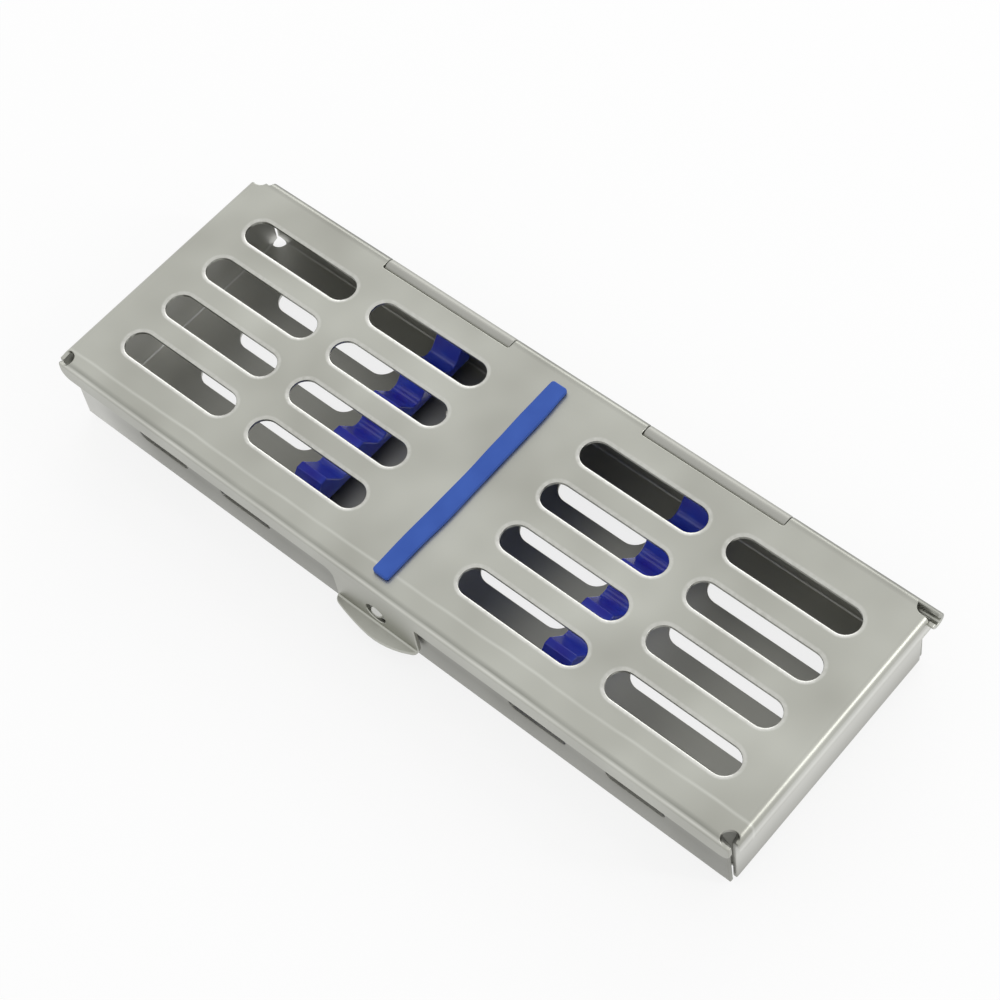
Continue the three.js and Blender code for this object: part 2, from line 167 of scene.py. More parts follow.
build_world()
bpy.context.scene.view_settings.view_transform = "Standard"
print("world light:", WORLD_LIGHT)

# %% Lamps
def add_lamp(name, place, aim, size, power):
    data = bpy.data.lights.new(name, "AREA")
    data.shape = "RECTANGLE"
    data.size, data.size_y = size
    data.energy = power
    lamp = bpy.data.objects.new(name, data)
    lamp.location = place
    lamp.rotation_euler = (Vector(aim) - Vector(place)).to_track_quat("-Z", "Y").to_euler()
    bpy.context.scene.collection.objects.link(lamp)


# each lamp's place and aim, its two sides in metres, and its power in watts
LAMPS = {
    "back_soft": ((-0.5, 1.0, 0.5), (0, 0, 0), (1.1, 0.4), 3.0),
    "right_strip": ((0.85, 0.42, 0.5), (0.09, 0, 0.02), (0.1, 0.45), 1.4),
}
for name, settings in LAMPS.items():
    add_lamp(name, *settings)
print("lamps:", ", ".join(LAMPS))

# %% [markdown]
# ## The floor
# The photograph has been cut out onto white, but the floor still shows through the tray's slots, where it
# reads from grey to white. So the larger part of the floor is plain white that gives its own colour to the
# camera and to reflections, and the rest takes light and the cassette's shadow.

# %% Floor
FLOOR_SIZE = 6.0
FLOOR_DROP = 0.05 * MM
FLOOR_SEEN_WHITE = 0.8
FLOOR_MIRRORED_WHITE = 0.9
FLOOR_COLOUR = (0.95, 0.95, 0.95, 1.0)


def floor_material():
    material = bpy.data.materials.new("floor_paper")
    material.use_nodes = True
    nodes, links = material.node_tree.nodes, material.node_tree.links
    nodes.clear()
    paper = nodes.new("ShaderNodeBsdfDiffuse")
    paper.inputs["Color"].default_value = FLOOR_COLOUR
    glow = nodes.new("ShaderNodeEmission")
    path = nodes.new("ShaderNodeLightPath").outputs
    seen = math_node(nodes, links, "MULTIPLY", path["Is Camera Ray"], FLOOR_SEEN_WHITE)
    share = math_node(nodes, links, "MULTIPLY_ADD", path["Is Glossy Ray"], FLOOR_MIRRORED_WHITE, seen)
    mix = nodes.new("ShaderNodeMixShader")
    links.new(share, mix.inputs[0])
    links.new(paper.outputs[0], mix.inputs[1])
    links.new(glow.outputs[0], mix.inputs[2])
    output = nodes.new("ShaderNodeOutputMaterial")
    links.new(mix.outputs[0], output.inputs["Surface"])
    return material


def add_floor():
    half = FLOOR_SIZE / 2
    mesh = bpy.data.meshes.new("floor")
    corners = [(-half, -half), (half, -half), (half, half), (-half, half)]
    mesh.from_pydata([(x, y, -FLOOR_DROP) for x, y in corners], [], [(0, 1, 2, 3)])
    mesh.materials.append(floor_material())
    floor = bpy.data.objects.new("floor", mesh)
    bpy.context.scene.collection.objects.link(floor)


add_floor()
print("floor:", FLOOR_SIZE, "m across")

# %% [markdown]
# ## Effects that the finishes share
# Rolled sheet has a fine grain along one direction and, after years of steam, soft cloudy patches. Both
# are patterns that more than one finish uses, so each is a node group with named inputs, built once. A
# third group paints a highlight on rims: the meshes below carry a value on their rims, and the group
# breaks it up a little. A fourth paints bands of light and shade along or across the blank, where the
# steel reflects or catches light differently, from a thin line to a wide darker or paler band. Image
# textures could do all this, but they would have to be painted for each piece, while these follow the
# flat blank that every piece carries.

# %% Group helpers
def new_group(name, inputs, outputs):
    """A shader node group with float inputs {name: value} and outputs [(name, kind)]."""
    group = bpy.data.node_groups.new(name, "ShaderNodeTree")
    for label, value in inputs.items():
        socket = group.interface.new_socket(label, in_out="INPUT", socket_type="NodeSocketFloat")
        socket.default_value = value
    for label, kind in outputs:
        group.interface.new_socket(label, in_out="OUTPUT", socket_type=kind)
    return group, group.nodes.new("NodeGroupInput"), group.nodes.new("NodeGroupOutput")


BLANK_MARK, RIM_MARK = "blank", "rim"


def blank_place(nodes):
    """Where a point was before the piece was folded. Every mesh below carries it."""
    mark = nodes.new("ShaderNodeAttribute")
    mark.attribute_name = BLANK_MARK
    return mark.outputs["Vector"]


def stretched_noise(nodes, links, stretch, scale, detail):
    """Noise over the flat blank, drawn out along the axes where stretch is small."""
    mapping = nodes.new("ShaderNodeMapping")
    mapping.inputs["Scale"].default_value = stretch
    links.new(blank_place(nodes), mapping.inputs["Vector"])
    noise = nodes.new("ShaderNodeTexNoise")
    noise.inputs["Detail"].default_value = detail
    links.new(mapping.outputs[0], noise.inputs["Vector"])
    feed(links, scale, noise.inputs["Scale"])
    return noise.outputs["Fac"]


EVEN = (1.0, 1.0, 1.0)
SOFT_DETAIL = 2.0
print("soft noise has a detail of", SOFT_DETAIL)

# %% Grain and clouds
GRAIN_STRETCH = (0.03, 1.0, 1.0)
GRAIN_DETAIL = 3.0
GRAIN_SCALE = 2500.0
CLOUD_SCALE = 38.0


def build_grain():
    group, given, made = new_group(
        "rolled_grain", {"Scale": GRAIN_SCALE, "Depth": 1.0}, [("Height", "NodeSocketFloat")])
    nodes, links = group.nodes, group.links
    fine = stretched_noise(nodes, links, GRAIN_STRETCH, given.outputs["Scale"], GRAIN_DETAIL)
    links.new(math_node(nodes, links, "MULTIPLY", fine, given.outputs["Depth"]), made.inputs["Height"])
    return group


def build_clouds():
    group, given, made = new_group(
        "soft_clouds", {"Scale": CLOUD_SCALE, "Contrast": 1.0}, [("Mask", "NodeSocketFloat")])
    nodes, links = group.nodes, group.links
    soft = stretched_noise(nodes, links, EVEN, given.outputs["Scale"], SOFT_DETAIL)
    centred = math_node(nodes, links, "SUBTRACT", soft, 0.5)
    scaled = math_node(nodes, links, "MULTIPLY", centred, given.outputs["Contrast"])
    lifted = math_node(nodes, links, "ADD", scaled, 0.5)
    clamped = math_node(nodes, links, "MINIMUM", math_node(nodes, links, "MAXIMUM", lifted, 0.0), 1.0)
    links.new(clamped, made.inputs["Mask"])
    return group


GRAIN, CLOUDS = build_grain(), build_clouds()
print("groups:", GRAIN.name, "and", CLOUDS.name)

# %% Rim highlights and bands of painted light
RIM_SCALE = 900.0
WAVE_SCALE = 45.0
WAVE_STRETCH = (1.0, 0.05, 0.05)


# a highlight painted on rims, from the mark that the meshes carry, broken up a little
def build_rim_highlights():
    group, given, made = new_group(
        "painted_rim_highlights", {"Scale": RIM_SCALE, "Amount": 1.0}, [("Mask", "NodeSocketFloat")])
    nodes, links = group.nodes, group.links
    mark = nodes.new("ShaderNodeAttribute")
    mark.attribute_name = RIM_MARK
    patchiness = stretched_noise(nodes, links, EVEN, given.outputs["Scale"], SOFT_DETAIL)
    broken = math_node(nodes, links, "MULTIPLY", mark.outputs["Fac"], patchiness)
    doubled = math_node(nodes, links, "MULTIPLY", broken, 2.0)
    strong = math_node(nodes, links, "MULTIPLY", doubled, given.outputs["Amount"])
    links.new(math_node(nodes, links, "MINIMUM", strong, 1.0), made.inputs["Mask"])
    return group


def build_painted_light_bands():
    """A painted band of light or shade along the blank, or across it if turned, at a level of the other axis,
    a little broken up.
    """
    inputs = {"Level": 0.0, "Slope": 0.0, "Width": 0.5 * MM, "Wobble": 0.4 * MM, "Turned": 0.0}
    group, given, made = new_group("painted_light_bands", inputs, [("Mask", "NodeSocketFloat")])
    nodes, links = group.nodes, group.links
    parts = nodes.new("ShaderNodeSeparateXYZ")
    links.new(blank_place(nodes), parts.inputs[0])
    wave = stretched_noise(nodes, links, WAVE_STRETCH, WAVE_SCALE, SOFT_DETAIL)
    shift = math_node(nodes, links, "MULTIPLY", math_node(nodes, links, "SUBTRACT", wave, 0.5),
                      given.outputs["Wobble"])
    lead = math_node(nodes, links, "SUBTRACT", parts.outputs["X"], parts.outputs["Y"])
    across = math_node(nodes, links, "MULTIPLY_ADD", lead, given.outputs["Turned"], parts.outputs["Y"])
    level = math_node(nodes, links, "MULTIPLY_ADD", parts.outputs["X"], given.outputs["Slope"],
                      given.outputs["Level"])
    off = math_node(nodes, links, "SUBTRACT", across, level)
    away = math_node(nodes, links, "ABSOLUTE", math_node(nodes, links, "SUBTRACT", off, shift))
    share = math_node(nodes, links, "DIVIDE", away, given.outputs["Width"])
    near = math_node(nodes, links, "SUBTRACT", 1.0, math_node(nodes, links, "MINIMUM", share, 1.0))
    links.new(math_node(nodes, links, "MULTIPLY", near, wave), made.inputs["Mask"])
    return group


# the rims' painted highlight, and the bands of painted light and shade
RIM_HIGHLIGHTS, PAINTED_LIGHT_BANDS = build_rim_highlights(), build_painted_light_bands()
print("groups:", RIM_HIGHLIGHTS.name, "and", PAINTED_LIGHT_BANDS.name)

# %% [markdown]
# ## Steel and silicone
# One function makes each kind of finish, and each material gives it its own values. The steel's colour
# drifts between two close greys with the clouds and turns paler at the rims, where a highlight is painted,
# its roughness follows the clouds and the grain, and the grain is also a faint bump. Bands of painted
# light and shade run along the lid's front fold, a crease and the right end flange for how they reflect,
# and darken its rolled edge to dim the highlight there; wide ones darken the tray's front wall and pale its
# end walls and the floor beside the left one, painted for their darker and brighter reflections and light.
# The silicone is a soft plastic: blue that deepens in patches, with a fine skin, duller on the hold-down
# than on the racks, whose blue is painted paler to make up for the shade inside the tray. A layered
# shader could add dirt and scratches, but a clean cassette has few.

# %% Material helpers
def use_group(nodes, group, **values):
    node = nodes.new("ShaderNodeGroup")
    node.node_tree = group
    for name, value in values.items():
        node.inputs[name].default_value = value
    return node


# a Mix node's colour sockets share their names with its number sockets, so they go by place
MIX_FIRST, MIX_SECOND, MIX_RESULT = 6, 7, 2


def mix_colour(nodes, links, share, first, second):
    """The first colour where the share is 0, the second where it is 1."""
    mix = nodes.new("ShaderNodeMix")
    mix.data_type = "RGBA"
    links.new(share, mix.inputs["Factor"])
    feed(links, first, mix.inputs[MIX_FIRST])
    feed(links, second, mix.inputs[MIX_SECOND])
    return mix.outputs[MIX_RESULT]


def new_material(name):
    material = bpy.data.materials.new(name)
    material.use_nodes = True
    nodes, links = material.node_tree.nodes, material.node_tree.links
    nodes.clear()
    shader = nodes.new("ShaderNodeBsdfPrincipled")
    output = nodes.new("ShaderNodeOutputMaterial")
    links.new(shader.outputs[0], output.inputs["Surface"])
    return material, nodes, links, shader


def bump_of(nodes, links, height, strength, distance):
    bump = nodes.new("ShaderNodeBump")
    bump.inputs["Strength"].default_value = strength
    bump.inputs["Distance"].default_value = distance
    links.new(height, bump.inputs["Height"])
    return bump.outputs[0]


print("materials so far:", [material.name for material in bpy.data.materials])

# %% Steel
CLOUD_CONTRAST = 2.2
GRAIN_STRENGTH = 0.12
GRAIN_HEIGHT = 0.02 * MM


def steel_material(name, dark, light, rim, roughness, spread, painted_bands=()):
    """Satin steel. The last argument lists bands of painted light and shade on the blank as (level, slope,
    width, wobble, colour, turned), and rim is the colour of the rims' painted highlight.
    """
    material, nodes, links, shader = new_material(name)
    clouds = use_group(nodes, CLOUDS, Scale=CLOUD_SCALE, Contrast=CLOUD_CONTRAST).outputs["Mask"]
    rim_highlight_mask = use_group(nodes, RIM_HIGHLIGHTS, Scale=RIM_SCALE, Amount=1.0).outputs["Mask"]
    grain = use_group(nodes, GRAIN, Scale=GRAIN_SCALE, Depth=1.0).outputs["Height"]
    body = mix_colour(nodes, links, clouds, dark, light)
    # bands of painted light and shade over the body colour
    for level, slope, width, wobble, colour, turned in painted_bands:
        line = use_group(nodes, PAINTED_LIGHT_BANDS, Level=level, Slope=slope, Width=width, Wobble=wobble,
                         Turned=turned)
        body = mix_colour(nodes, links, line.outputs["Mask"], body, colour)
    links.new(mix_colour(nodes, links, rim_highlight_mask, body, rim), shader.inputs["Base Color"])
    shader.inputs["Metallic"].default_value = 1.0
    uneven = math_node(nodes, links, "ADD", clouds, grain)
    rough = math_node(nodes, links, "MULTIPLY_ADD", uneven, spread, roughness - spread)
    links.new(rough, shader.inputs["Roughness"])
    links.new(bump_of(nodes, links, grain, GRAIN_STRENGTH, GRAIN_HEIGHT), shader.inputs["Normal"])
    return material


# painted light and shade on the lid: a dark band and a bright line on the front fold for how it reflects, a
# highlight along a soft crease, a dark band on the rolled edge that dims its highlight, and a pale band on
# the right end flange for its brighter reflection
LID_PAINTED_LIGHT = [
    (-31.25 * MM, 0.0, 0.9 * MM, 0.3 * MM, srgb(128, 129, 122), 0.0),
    (-31.95 * MM, 0.0, 0.6 * MM, 0.3 * MM, srgb(226, 226, 220), 0.0),
    (-27.0 * MM, 0.0135, 0.5 * MM, 1.2 * MM, srgb(208, 209, 202), 0.0),
    (31.0 * MM, 0.0, 2.4 * MM, 0.2 * MM, srgb(60, 60, 57), 0.0),
    (93.2 * MM, 0.0, 2.6 * MM, 0.4 * MM, srgb(248, 248, 244), 1.0),
]
LID_STEEL = steel_material(
    "lid_steel", srgb(162, 162, 154), srgb(188, 189, 181), srgb(206, 206, 201), 0.36, 0.05,
    LID_PAINTED_LIGHT)
# painted shade and light on the tray: a dark band on the front wall for its darker reflection, then a pale
# band on the left end with the floor beside it for light that comes in there, then a pale band on the right
# end wall for its brighter reflection
TRAY_PAINTED_LIGHT = [
    (-38.0 * MM, 0.0, 14.0 * MM, 0.5 * MM, srgb(128, 128, 122), 0.0),
    (-90.0 * MM, 0.0, 26.0 * MM, 0.5 * MM, srgb(250, 250, 246), 1.0),
    (99.0 * MM, 0.0, 11.0 * MM, 0.5 * MM, srgb(250, 250, 246), 1.0),
]
TRAY_STEEL = steel_material(
    "tray_steel", srgb(160, 160, 154), srgb(174, 174, 168), srgb(200, 200, 196), 0.5, 0.05,
    TRAY_PAINTED_LIGHT)
PIN_STEEL = steel_material(
    "pin_steel", srgb(188, 188, 184), srgb(202, 202, 198), srgb(230, 230, 228), 0.25, 0.03)
print("steels:", LID_STEEL.name, TRAY_STEEL.name, PIN_STEEL.name)

# %% Silicone
PATCH_SCALE = 120.0
PATCH_CONTRAST = 1.6
SKIN_SCALE = 4000.0
SKIN_STRENGTH = 0.15
SKIN_HEIGHT = 0.03 * MM


def silicone_material(name, deep, bright, roughness, shine):
    material, nodes, links, shader = new_material(name)
    patches = use_group(nodes, CLOUDS, Scale=PATCH_SCALE, Contrast=PATCH_CONTRAST).outputs["Mask"]
    skin = use_group(nodes, CLOUDS, Scale=SKIN_SCALE, Contrast=1.0).outputs["Mask"]
    links.new(mix_colour(nodes, links, patches, deep, bright), shader.inputs["Base Color"])
    shader.inputs["Roughness"].default_value = roughness
    shader.inputs["Specular IOR Level"].default_value = shine
    links.new(bump_of(nodes, links, skin, SKIN_STRENGTH, SKIN_HEIGHT), shader.inputs["Normal"])
    return material


BAR_SILICONE = silicone_material("bar_silicone", srgb(40, 77, 162), srgb(54, 92, 179), 0.5, 0.3)
# the racks' silicone is the hold-down's, painted brighter to make up for the shade inside the tray
LIGHTENED_RACK_SILICONE = silicone_material("rack_silicone", srgb(50, 34, 176), srgb(60, 96, 222), 0.22, 0.6)
print("silicones:", BAR_SILICONE.name, LIGHTENED_RACK_SILICONE.name)

# %% [markdown]
# ## Folding sheet metal
# The lid and the tray are each cut flat from one sheet, punched, and then folded. The model goes the same
# way. A blank is an outline with holes on the flat, and a section says how the flat is bent: straight
# runs and bends, one after the other, measured along the outer face. A point of the blank, at a depth
# into the sheet, then has one place in space, and one direction that is square to the sheet there.
# This keeps every hole true to its fold, which bending a finished mesh wouldn't.

# %% Sections
BEND_STEP = radians(9)


class Section:
    """A folded section in a plane: runs along the outer face, which looks left, or right if outer is -1."""

    def __init__(self, point, heading, outer=1):
        self.runs = []
        self.outer = outer
        self.low = self.high = (0.0, Vector(point), heading)

    @staticmethod
    def move(state, distance, curve):
        along, point, heading = state
        turned = heading + curve * distance
        if curve:
            step = Vector((sin(turned) - sin(heading), cos(heading) - cos(turned))) / curve
        else:
            step = distance * Vector((cos(heading), sin(heading)))
        return (along + distance, point + step, turned)

    def ahead(self, distance, curve=0.0):
        """Adds a run at the high end. A positive curve turns left."""
        self.runs.append((self.high[0], self.high[0] + distance, self.high, curve))
        self.high = self.move(self.high, distance, curve)
        return self

    def behind(self, distance, curve=0.0):
        """Adds a run at the low end."""
        self.runs.append((self.low[0] - distance, self.low[0], self.low, curve))
        self.low = self.move(self.low, -distance, curve)
        return self

    def at(self, along):
        """(point, tangent, normal) of the outer face at a distance along it."""
        run = min(self.runs, key=lambda r: max(r[0] - along, along - r[1], 0))
        _, point, heading = self.move(run[2], along - run[2][0], run[3])
        normal = self.outer * Vector((-sin(heading), cos(heading)))
        return point, Vector((cos(heading), sin(heading))), normal

    def bends(self):
        """Distances along the face at which bent runs need a row of points."""
        rows = []
        for start, end, _, curve in self.runs:
            if curve:
                count = max(2, ceil(abs(curve) * (end - start) / BEND_STEP))
                rows += [start + (end - start) * i / count for i in range(count + 1)]
        return rows


sample = Section((0.0, 0.0), 0.0).ahead(10.0).ahead(pi, 1 / 2)
print("10 mm of sheet and a quarter bend of 2 mm end at", [round(value, 3) for value in sample.high[1]])

# %% [markdown]
# ## Outlines
# An outline is a list of corners, and each corner has its own radius, because nothing that is punched or
# trimmed from sheet is perfectly sharp. A hole with round ends is a list of points on two arcs.

# %% Outlines
ARC_STEP = radians(12)


def arc(centre, radius, start, end):
    """Points on an arc from one angle to another, both ends included."""
    count = max(2, ceil(abs(end - start) / ARC_STEP))
    return [(centre[0] + radius * cos(start + (end - start) * i / count),
             centre[1] + radius * sin(start + (end - start) * i / count)) for i in range(count + 1)]


def round_slot(centre, length, width):
    """A punched slot with round ends, long way along the first axis."""
    radius, reach = width / 2, (length - width) / 2
    x, y = centre
    return (arc((x + reach, y), radius, -pi / 2, pi / 2)
            + arc((x - reach, y), radius, pi / 2, 3 * pi / 2))


def rounded(corners):
    """An outline whose corners (u, v, radius) are rounded. A corner with radius 0 is kept as a point."""
    points = []
    count = len(corners)
    for i, (u, v, radius) in enumerate(corners):
        corner = Vector((u, v))
        if not radius:
            points.append((u, v))
            continue
        back = (Vector(corners[i - 1][:2]) - corner).normalized()
        on = (Vector(corners[(i + 1) % count][:2]) - corner).normalized()
        half = acos(max(-1.0, min(1.0, back.dot(on)))) / 2
        centre = corner + (back + on).normalized() * radius / sin(half)
        start = corner + back * radius / tan(half) - centre
        end = corner + on * radius / tan(half) - centre
        turn = start.angle_signed(end)
        steps = max(2, ceil(abs(turn) / ARC_STEP))
        for k in range(steps + 1):
            spoke = Matrix.Rotation(-turn * k / steps, 2) @ start
            points.append(tuple(centre + spoke))
    return points


def box_corners(left, right, low, high, radius):
    return [(left, low, radius), (right, low, radius), (right, high, radius), (left, high, radius)]


print("a slot has", len(round_slot((0, 0), 30, 7)), "points")

# %% [markdown]
# ## From a blank to a mesh
# The flat is filled with triangles between its outline and its holes, with a row of points at each step
# of each bend. The same triangles make both faces of the sheet, and a strip round each outline joins
# them. The strip is rounded at both faces, as a punch leaves it, and its points carry the value that the
# steel uses to paint bright rims. Normals are worked out with the points, so that a wide flat face stays
# flat right up to its rounded rim.

# %% Blanks
MITRE_LIMIT = 0.5
SAME_POINT = 1e-8


def inside(point, loop):
    """Whether a point lies inside a closed loop."""
    x, y = point
    within = False
    for (x1, y1), (x2, y2) in zip(loop, loop[1:] + loop[:1]):
        if (y1 > y) != (y2 > y) and x < (x2 - x1) * (y - y1) / (y2 - y1) + x1:
            within = not within
    return within


def is_ccw(loop):
    return sum(x1 * y2 - x2 * y1 for (x1, y1), (x2, y2) in zip(loop, loop[1:] + loop[:1])) > 0


def inset(loop, distance):
    """The loop moved to its left, into the material, by a distance."""
    moved = []
    count = len(loop)
    for i, point in enumerate(loop):
        point = Vector(point)
        back = (point - Vector(loop[i - 1])).normalized()
        on = (Vector(loop[(i + 1) % count]) - point).normalized()
        left = Vector((-back.y - on.y, back.x + on.x))
        left.normalize()
        share = max(MITRE_LIMIT, left.dot(Vector((-back.y, back.x))))
        moved.append(tuple(point + left * distance / share))
    return moved


def fill(loops, rows):
    """Triangles over the area between the first loop and the others, with points along the rows."""
    points, edges = [], []
    for loop in loops:
        start = len(points)
        points += [Vector(p) for p in loop]
        edges += [(start + i, start + (i + 1) % len(loop)) for i in range(len(loop))]
    for first, second in rows:
        points += [Vector(first), Vector(second)]
        edges.append((len(points) - 2, len(points) - 1))
    found, _, faces, *_ = delaunay_2d_cdt(points, edges, [], 0, SAME_POINT)
    kept = []
    for face in faces:
        middle = sum((found[i] for i in face), Vector((0, 0))) / len(face)
        if inside(middle, loops[0]) and not any(inside(middle, hole) for hole in loops[1:]):
            kept.append(tuple(face))
    return found, kept


def border_loops(faces):
    """The edges that only one face has, in order round each loop, with the faces to their left."""
    sides = {}
    for face in faces:
        for a, b in zip(face, face[1:] + face[:1]):
            sides[(a, b)] = True
    after = {a: b for a, b in sides if (b, a) not in sides}
    loops = []
    while after:
        start = a = next(iter(after))
        loop = []
        while a in after:
            loop.append(a)
            a = after.pop(a)
        assert a == start, "an outline isn't closed"
        loops.append(loop)
    return loops


def outward(found, loop):
    """For each point of a border loop, the way out of the material, long enough for a mitre."""
    ways = []
    count = len(loop)
    for i, index in enumerate(loop):
        back = (found[index] - found[loop[i - 1]]).normalized()
        on = (found[loop[(i + 1) % count]] - found[index]).normalized()
        right = Vector((back.y + on.y, -back.x - on.x))
        right.normalize()
        ways.append(right / max(MITRE_LIMIT, right.dot(Vector((back.y, -back.x)))))
    return ways


print("a square fills with", len(fill([[(0, 0), (1, 0), (1, 1), (0, 1)]], [])[1]), "triangles")

# %% Rims
RIM_STEPS = 4


def rim_rings(thickness, reach, depth):
    """(way out, depth, tilt, mark) of the rings from one face round to the other. The rims are a quarter
    of an ellipse that reaches in from the edge, and the mark fades to nothing on the cut face."""
    turns = [pi / 2 * k / RIM_STEPS for k in range(RIM_STEPS + 1)]
    quarter = [(reach * sin(turn), depth * (1 - cos(turn)), atan2(depth * sin(turn), reach * cos(turn)),
                1.0 if 0 < turn < pi / 2 else 0.0) for turn in turns]
    return quarter + [(out, thickness - down, pi - tilt, mark) for out, down, tilt, mark in reversed(quarter)]


def mark_blank(mesh, places):
    attribute = mesh.attributes.new(BLANK_MARK, "FLOAT_VECTOR", "POINT")
    attribute.data.foreach_set("vector", [value for place in places for value in place])


print("a rim has", len(rim_rings(1.0, 0.2, 0.2)), "rings of points")

# %% Sheets
def sheet_mesh(name, outline, holes, rows, fold, thickness, edge, hole_reach=None, painted_rim_highlight=None):
    """A sheet of a thickness from a blank. fold(u, v) gives (point, along u, along v, normal). Rims are
    rounded by edge, and those of holes reach in by hole_reach(v). The last argument, of v and the way out, is
    how much painted highlight a hole's rim gets."""
    hole_reach = hole_reach or (lambda v: edge)
    painted_rim_highlight = painted_rim_highlight or (lambda v, way: 0.0)
    loops = [inset(outline if is_ccw(outline) else outline[::-1], edge)]
    loops += [inset(hole[::-1] if is_ccw(hole) else hole, hole_reach(hole[0][1])) for hole in holes]
    found, faces = fill(loops, rows)
    used = sorted({i for face in faces for i in face})
    at = {index: i for i, index in enumerate(used)}
    places = [fold(*found[index]) for index in used]
    points = [place[0] for place in places] + [place[0] - place[3] * thickness for place in places]
    blank = [(*found[index], depth) for depth in (0.0, -thickness) for index in used]
    normals = [place[3] for place in places] + [-place[3] for place in places]
    marks = [0.0] * len(points)
    count = len(used)
    polygons = [tuple(at[i] for i in face) for face in faces]
    polygons += [tuple(at[i] + count for i in reversed(face)) for face in faces]
    for loop in border_loops(faces):
        at_hole = not is_ccw([found[index] for index in loop])
        rings = rim_rings(thickness, hole_reach(found[loop[0]].y) if at_hole else edge, edge)
        strip = []
        for index, way in zip(loop, outward(found, loop)):
            # how much painted highlight this rim gets
            highlight_share = painted_rim_highlight(found[index].y, way.normalized()) if at_hole else 0.0
            point, along_u, along_v, normal = places[at[index]]
            out = along_u * way.x + along_v * way.y
            column = [at[index]]
            for reach, depth, tilt, mark in rings[1:-1]:
                column.append(len(points))
                points.append(point + out * reach - normal * depth)
                normals.append((normal * cos(tilt) + out.normalized() * sin(tilt)).normalized())
                marks.append(mark * highlight_share)
                blank.append((*(found[index] + way * reach), -depth))
            column.append(at[index] + count)
            strip.append(column)
        for first, second in zip(strip, strip[1:] + strip[:1]):
            for k in range(len(rings) - 1):
                polygons.append((first[k + 1], second[k + 1], second[k], first[k]))
    place = places[0]
    if place[1].cross(place[2]).dot(place[3]) < 0:
        polygons = [tuple(reversed(polygon)) for polygon in polygons]
    mesh = bpy.data.meshes.new(name)
    mesh.from_pydata([tuple(point) for point in points], [], polygons)
    mesh.attributes.new(RIM_MARK, "FLOAT", "POINT").data.foreach_set("value", marks)
    mark_blank(mesh, blank)
    mesh.validate()
    mesh.shade_smooth()
    mesh.normals_split_custom_set_from_vertices([tuple(normal) for normal in normals])
    return mesh


print("each sheet carries the marks", BLANK_MARK, "and", RIM_MARK)

# %% Pieces and rows
def add_piece(name, mesh, material, slot, body, *nodes):
    """Puts a mesh in the scene as a piece that stands for CAD nodes and moves with a body."""
    piece = bpy.data.objects.new(name, mesh)
    bpy.context.scene.collection.objects.link(piece)
    mesh.materials.clear()
    mesh.materials.append(material)
    if BLANK_MARK not in mesh.attributes:
        mark_blank(mesh, [vertex.co for vertex in mesh.vertices])
    if body:
        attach(piece, body)
    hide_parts(*nodes)
    print(name, "has", len(mesh.vertices), "points and stands for", ", ".join(nodes))
    return piece


def level_rows(levels, low, high):
    """Rows across the blank at each level of its second axis."""
    return [((low, level), (high, level)) for level in levels]


def upright_rows(places, low, high):
    """Rows along the blank's second axis at each place of its first one."""
    return [((place, low), (place, high)) for place in places]


print("a row across a blank:", level_rows([1], 0, 5)[0], "and one along it:", upright_rows([1], 0, 5)[0])

# %% [markdown]
# ## What the sheet pieces share
# The overall sizes come from the solids' boxes, and the hinge line from its joint. What the boxes can't
# say, such as the sheet's thickness, the folds and the slots, has a name here. The hinge is a row of five
# rolled knuckles, three of the lid's and two of the tray's, with hair gaps between them.

# %% Shared sizes
SHEET = 1.0 * MM
EDGE = 0.24 * MM
GAP = 0.3 * MM
QUARTER = pi / 2
TRIM_RADIUS = 0.5 * MM
PUNCH_REACH = 1.0 * MM

lid_low, lid_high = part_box("lid_panel")
tray_low, tray_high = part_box("tray_pan")
latch_low, latch_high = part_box("latch_tab")
HINGE = next(Vector(joint["pos_m"]) for joint in frame["record"]["behaviour"]["joints"]
             if joint["name"] == "lid_hinge")

ROLL_RADIUS = lid_high[2] - HINGE.z
ROLL_BORE = ROLL_RADIUS - SHEET
KNUCKLE_GAP = 0.12 * MM
PANEL_CLEAR = sqrt((ROLL_RADIUS + KNUCKLE_GAP / 2) ** 2 - ROLL_BORE ** 2)
ROLL_END = lid_high[0]
KNUCKLES = 5
KNUCKLE_PITCH = 2 * (ROLL_END + GAP / 2 - HINGE.x) / KNUCKLES
ROLL_START = ROLL_END + GAP / 2 - KNUCKLES * KNUCKLE_PITCH
ROLL_FRONT = HINGE.y - ROLL_RADIUS - GAP
BAY_FRONT = HINGE.y - PANEL_CLEAR
LID_KNUCKLES = (0, 2, 4)
TRAY_KNUCKLES = (1, 3)
ROW_COUNT = 4
ROW_PITCH = 12.3 * MM
ROWS = [(row - (ROW_COUNT - 1) / 2) * ROW_PITCH for row in range(ROW_COUNT)]
print("hinge line at", tuple(round(v, 4) for v in HINGE), "knuckle pitch", round(KNUCKLE_PITCH / MM, 2))


# %% Knuckles and folded ends
def knuckle_span(index):
    start = ROLL_START + index * KNUCKLE_PITCH
    return start + KNUCKLE_GAP / 2, start + KNUCKLE_PITCH - KNUCKLE_GAP / 2


def bent_fold(section, side_section, on_side):
    """Fold of a blank by section, and by side_section where on_side(distance from the middle, v) is true."""
    def fold(u, v):
        side = 1 if u > 0 else -1
        if on_side(abs(u), v):
            flat, along, normal = side_section.at(abs(u))
            y, _, _ = section.at(v)
            point = Vector((side * flat.x, y.x, flat.y))
            return (point, Vector((along.x, 0, side * along.y)), Vector((0, 1, 0)),
                    Vector((side * normal.x, 0, normal.y)))
        flat, along, normal = section.at(v)
        return (Vector((u, flat.x, flat.y)), Vector((1, 0, 0)), Vector((0, along.x, along.y)),
                Vector((0, normal.x, normal.y)))
    return fold


print("the middle knuckle spans", [round(end / MM, 2) for end in knuckle_span(LID_KNUCKLES[1])], "mm")
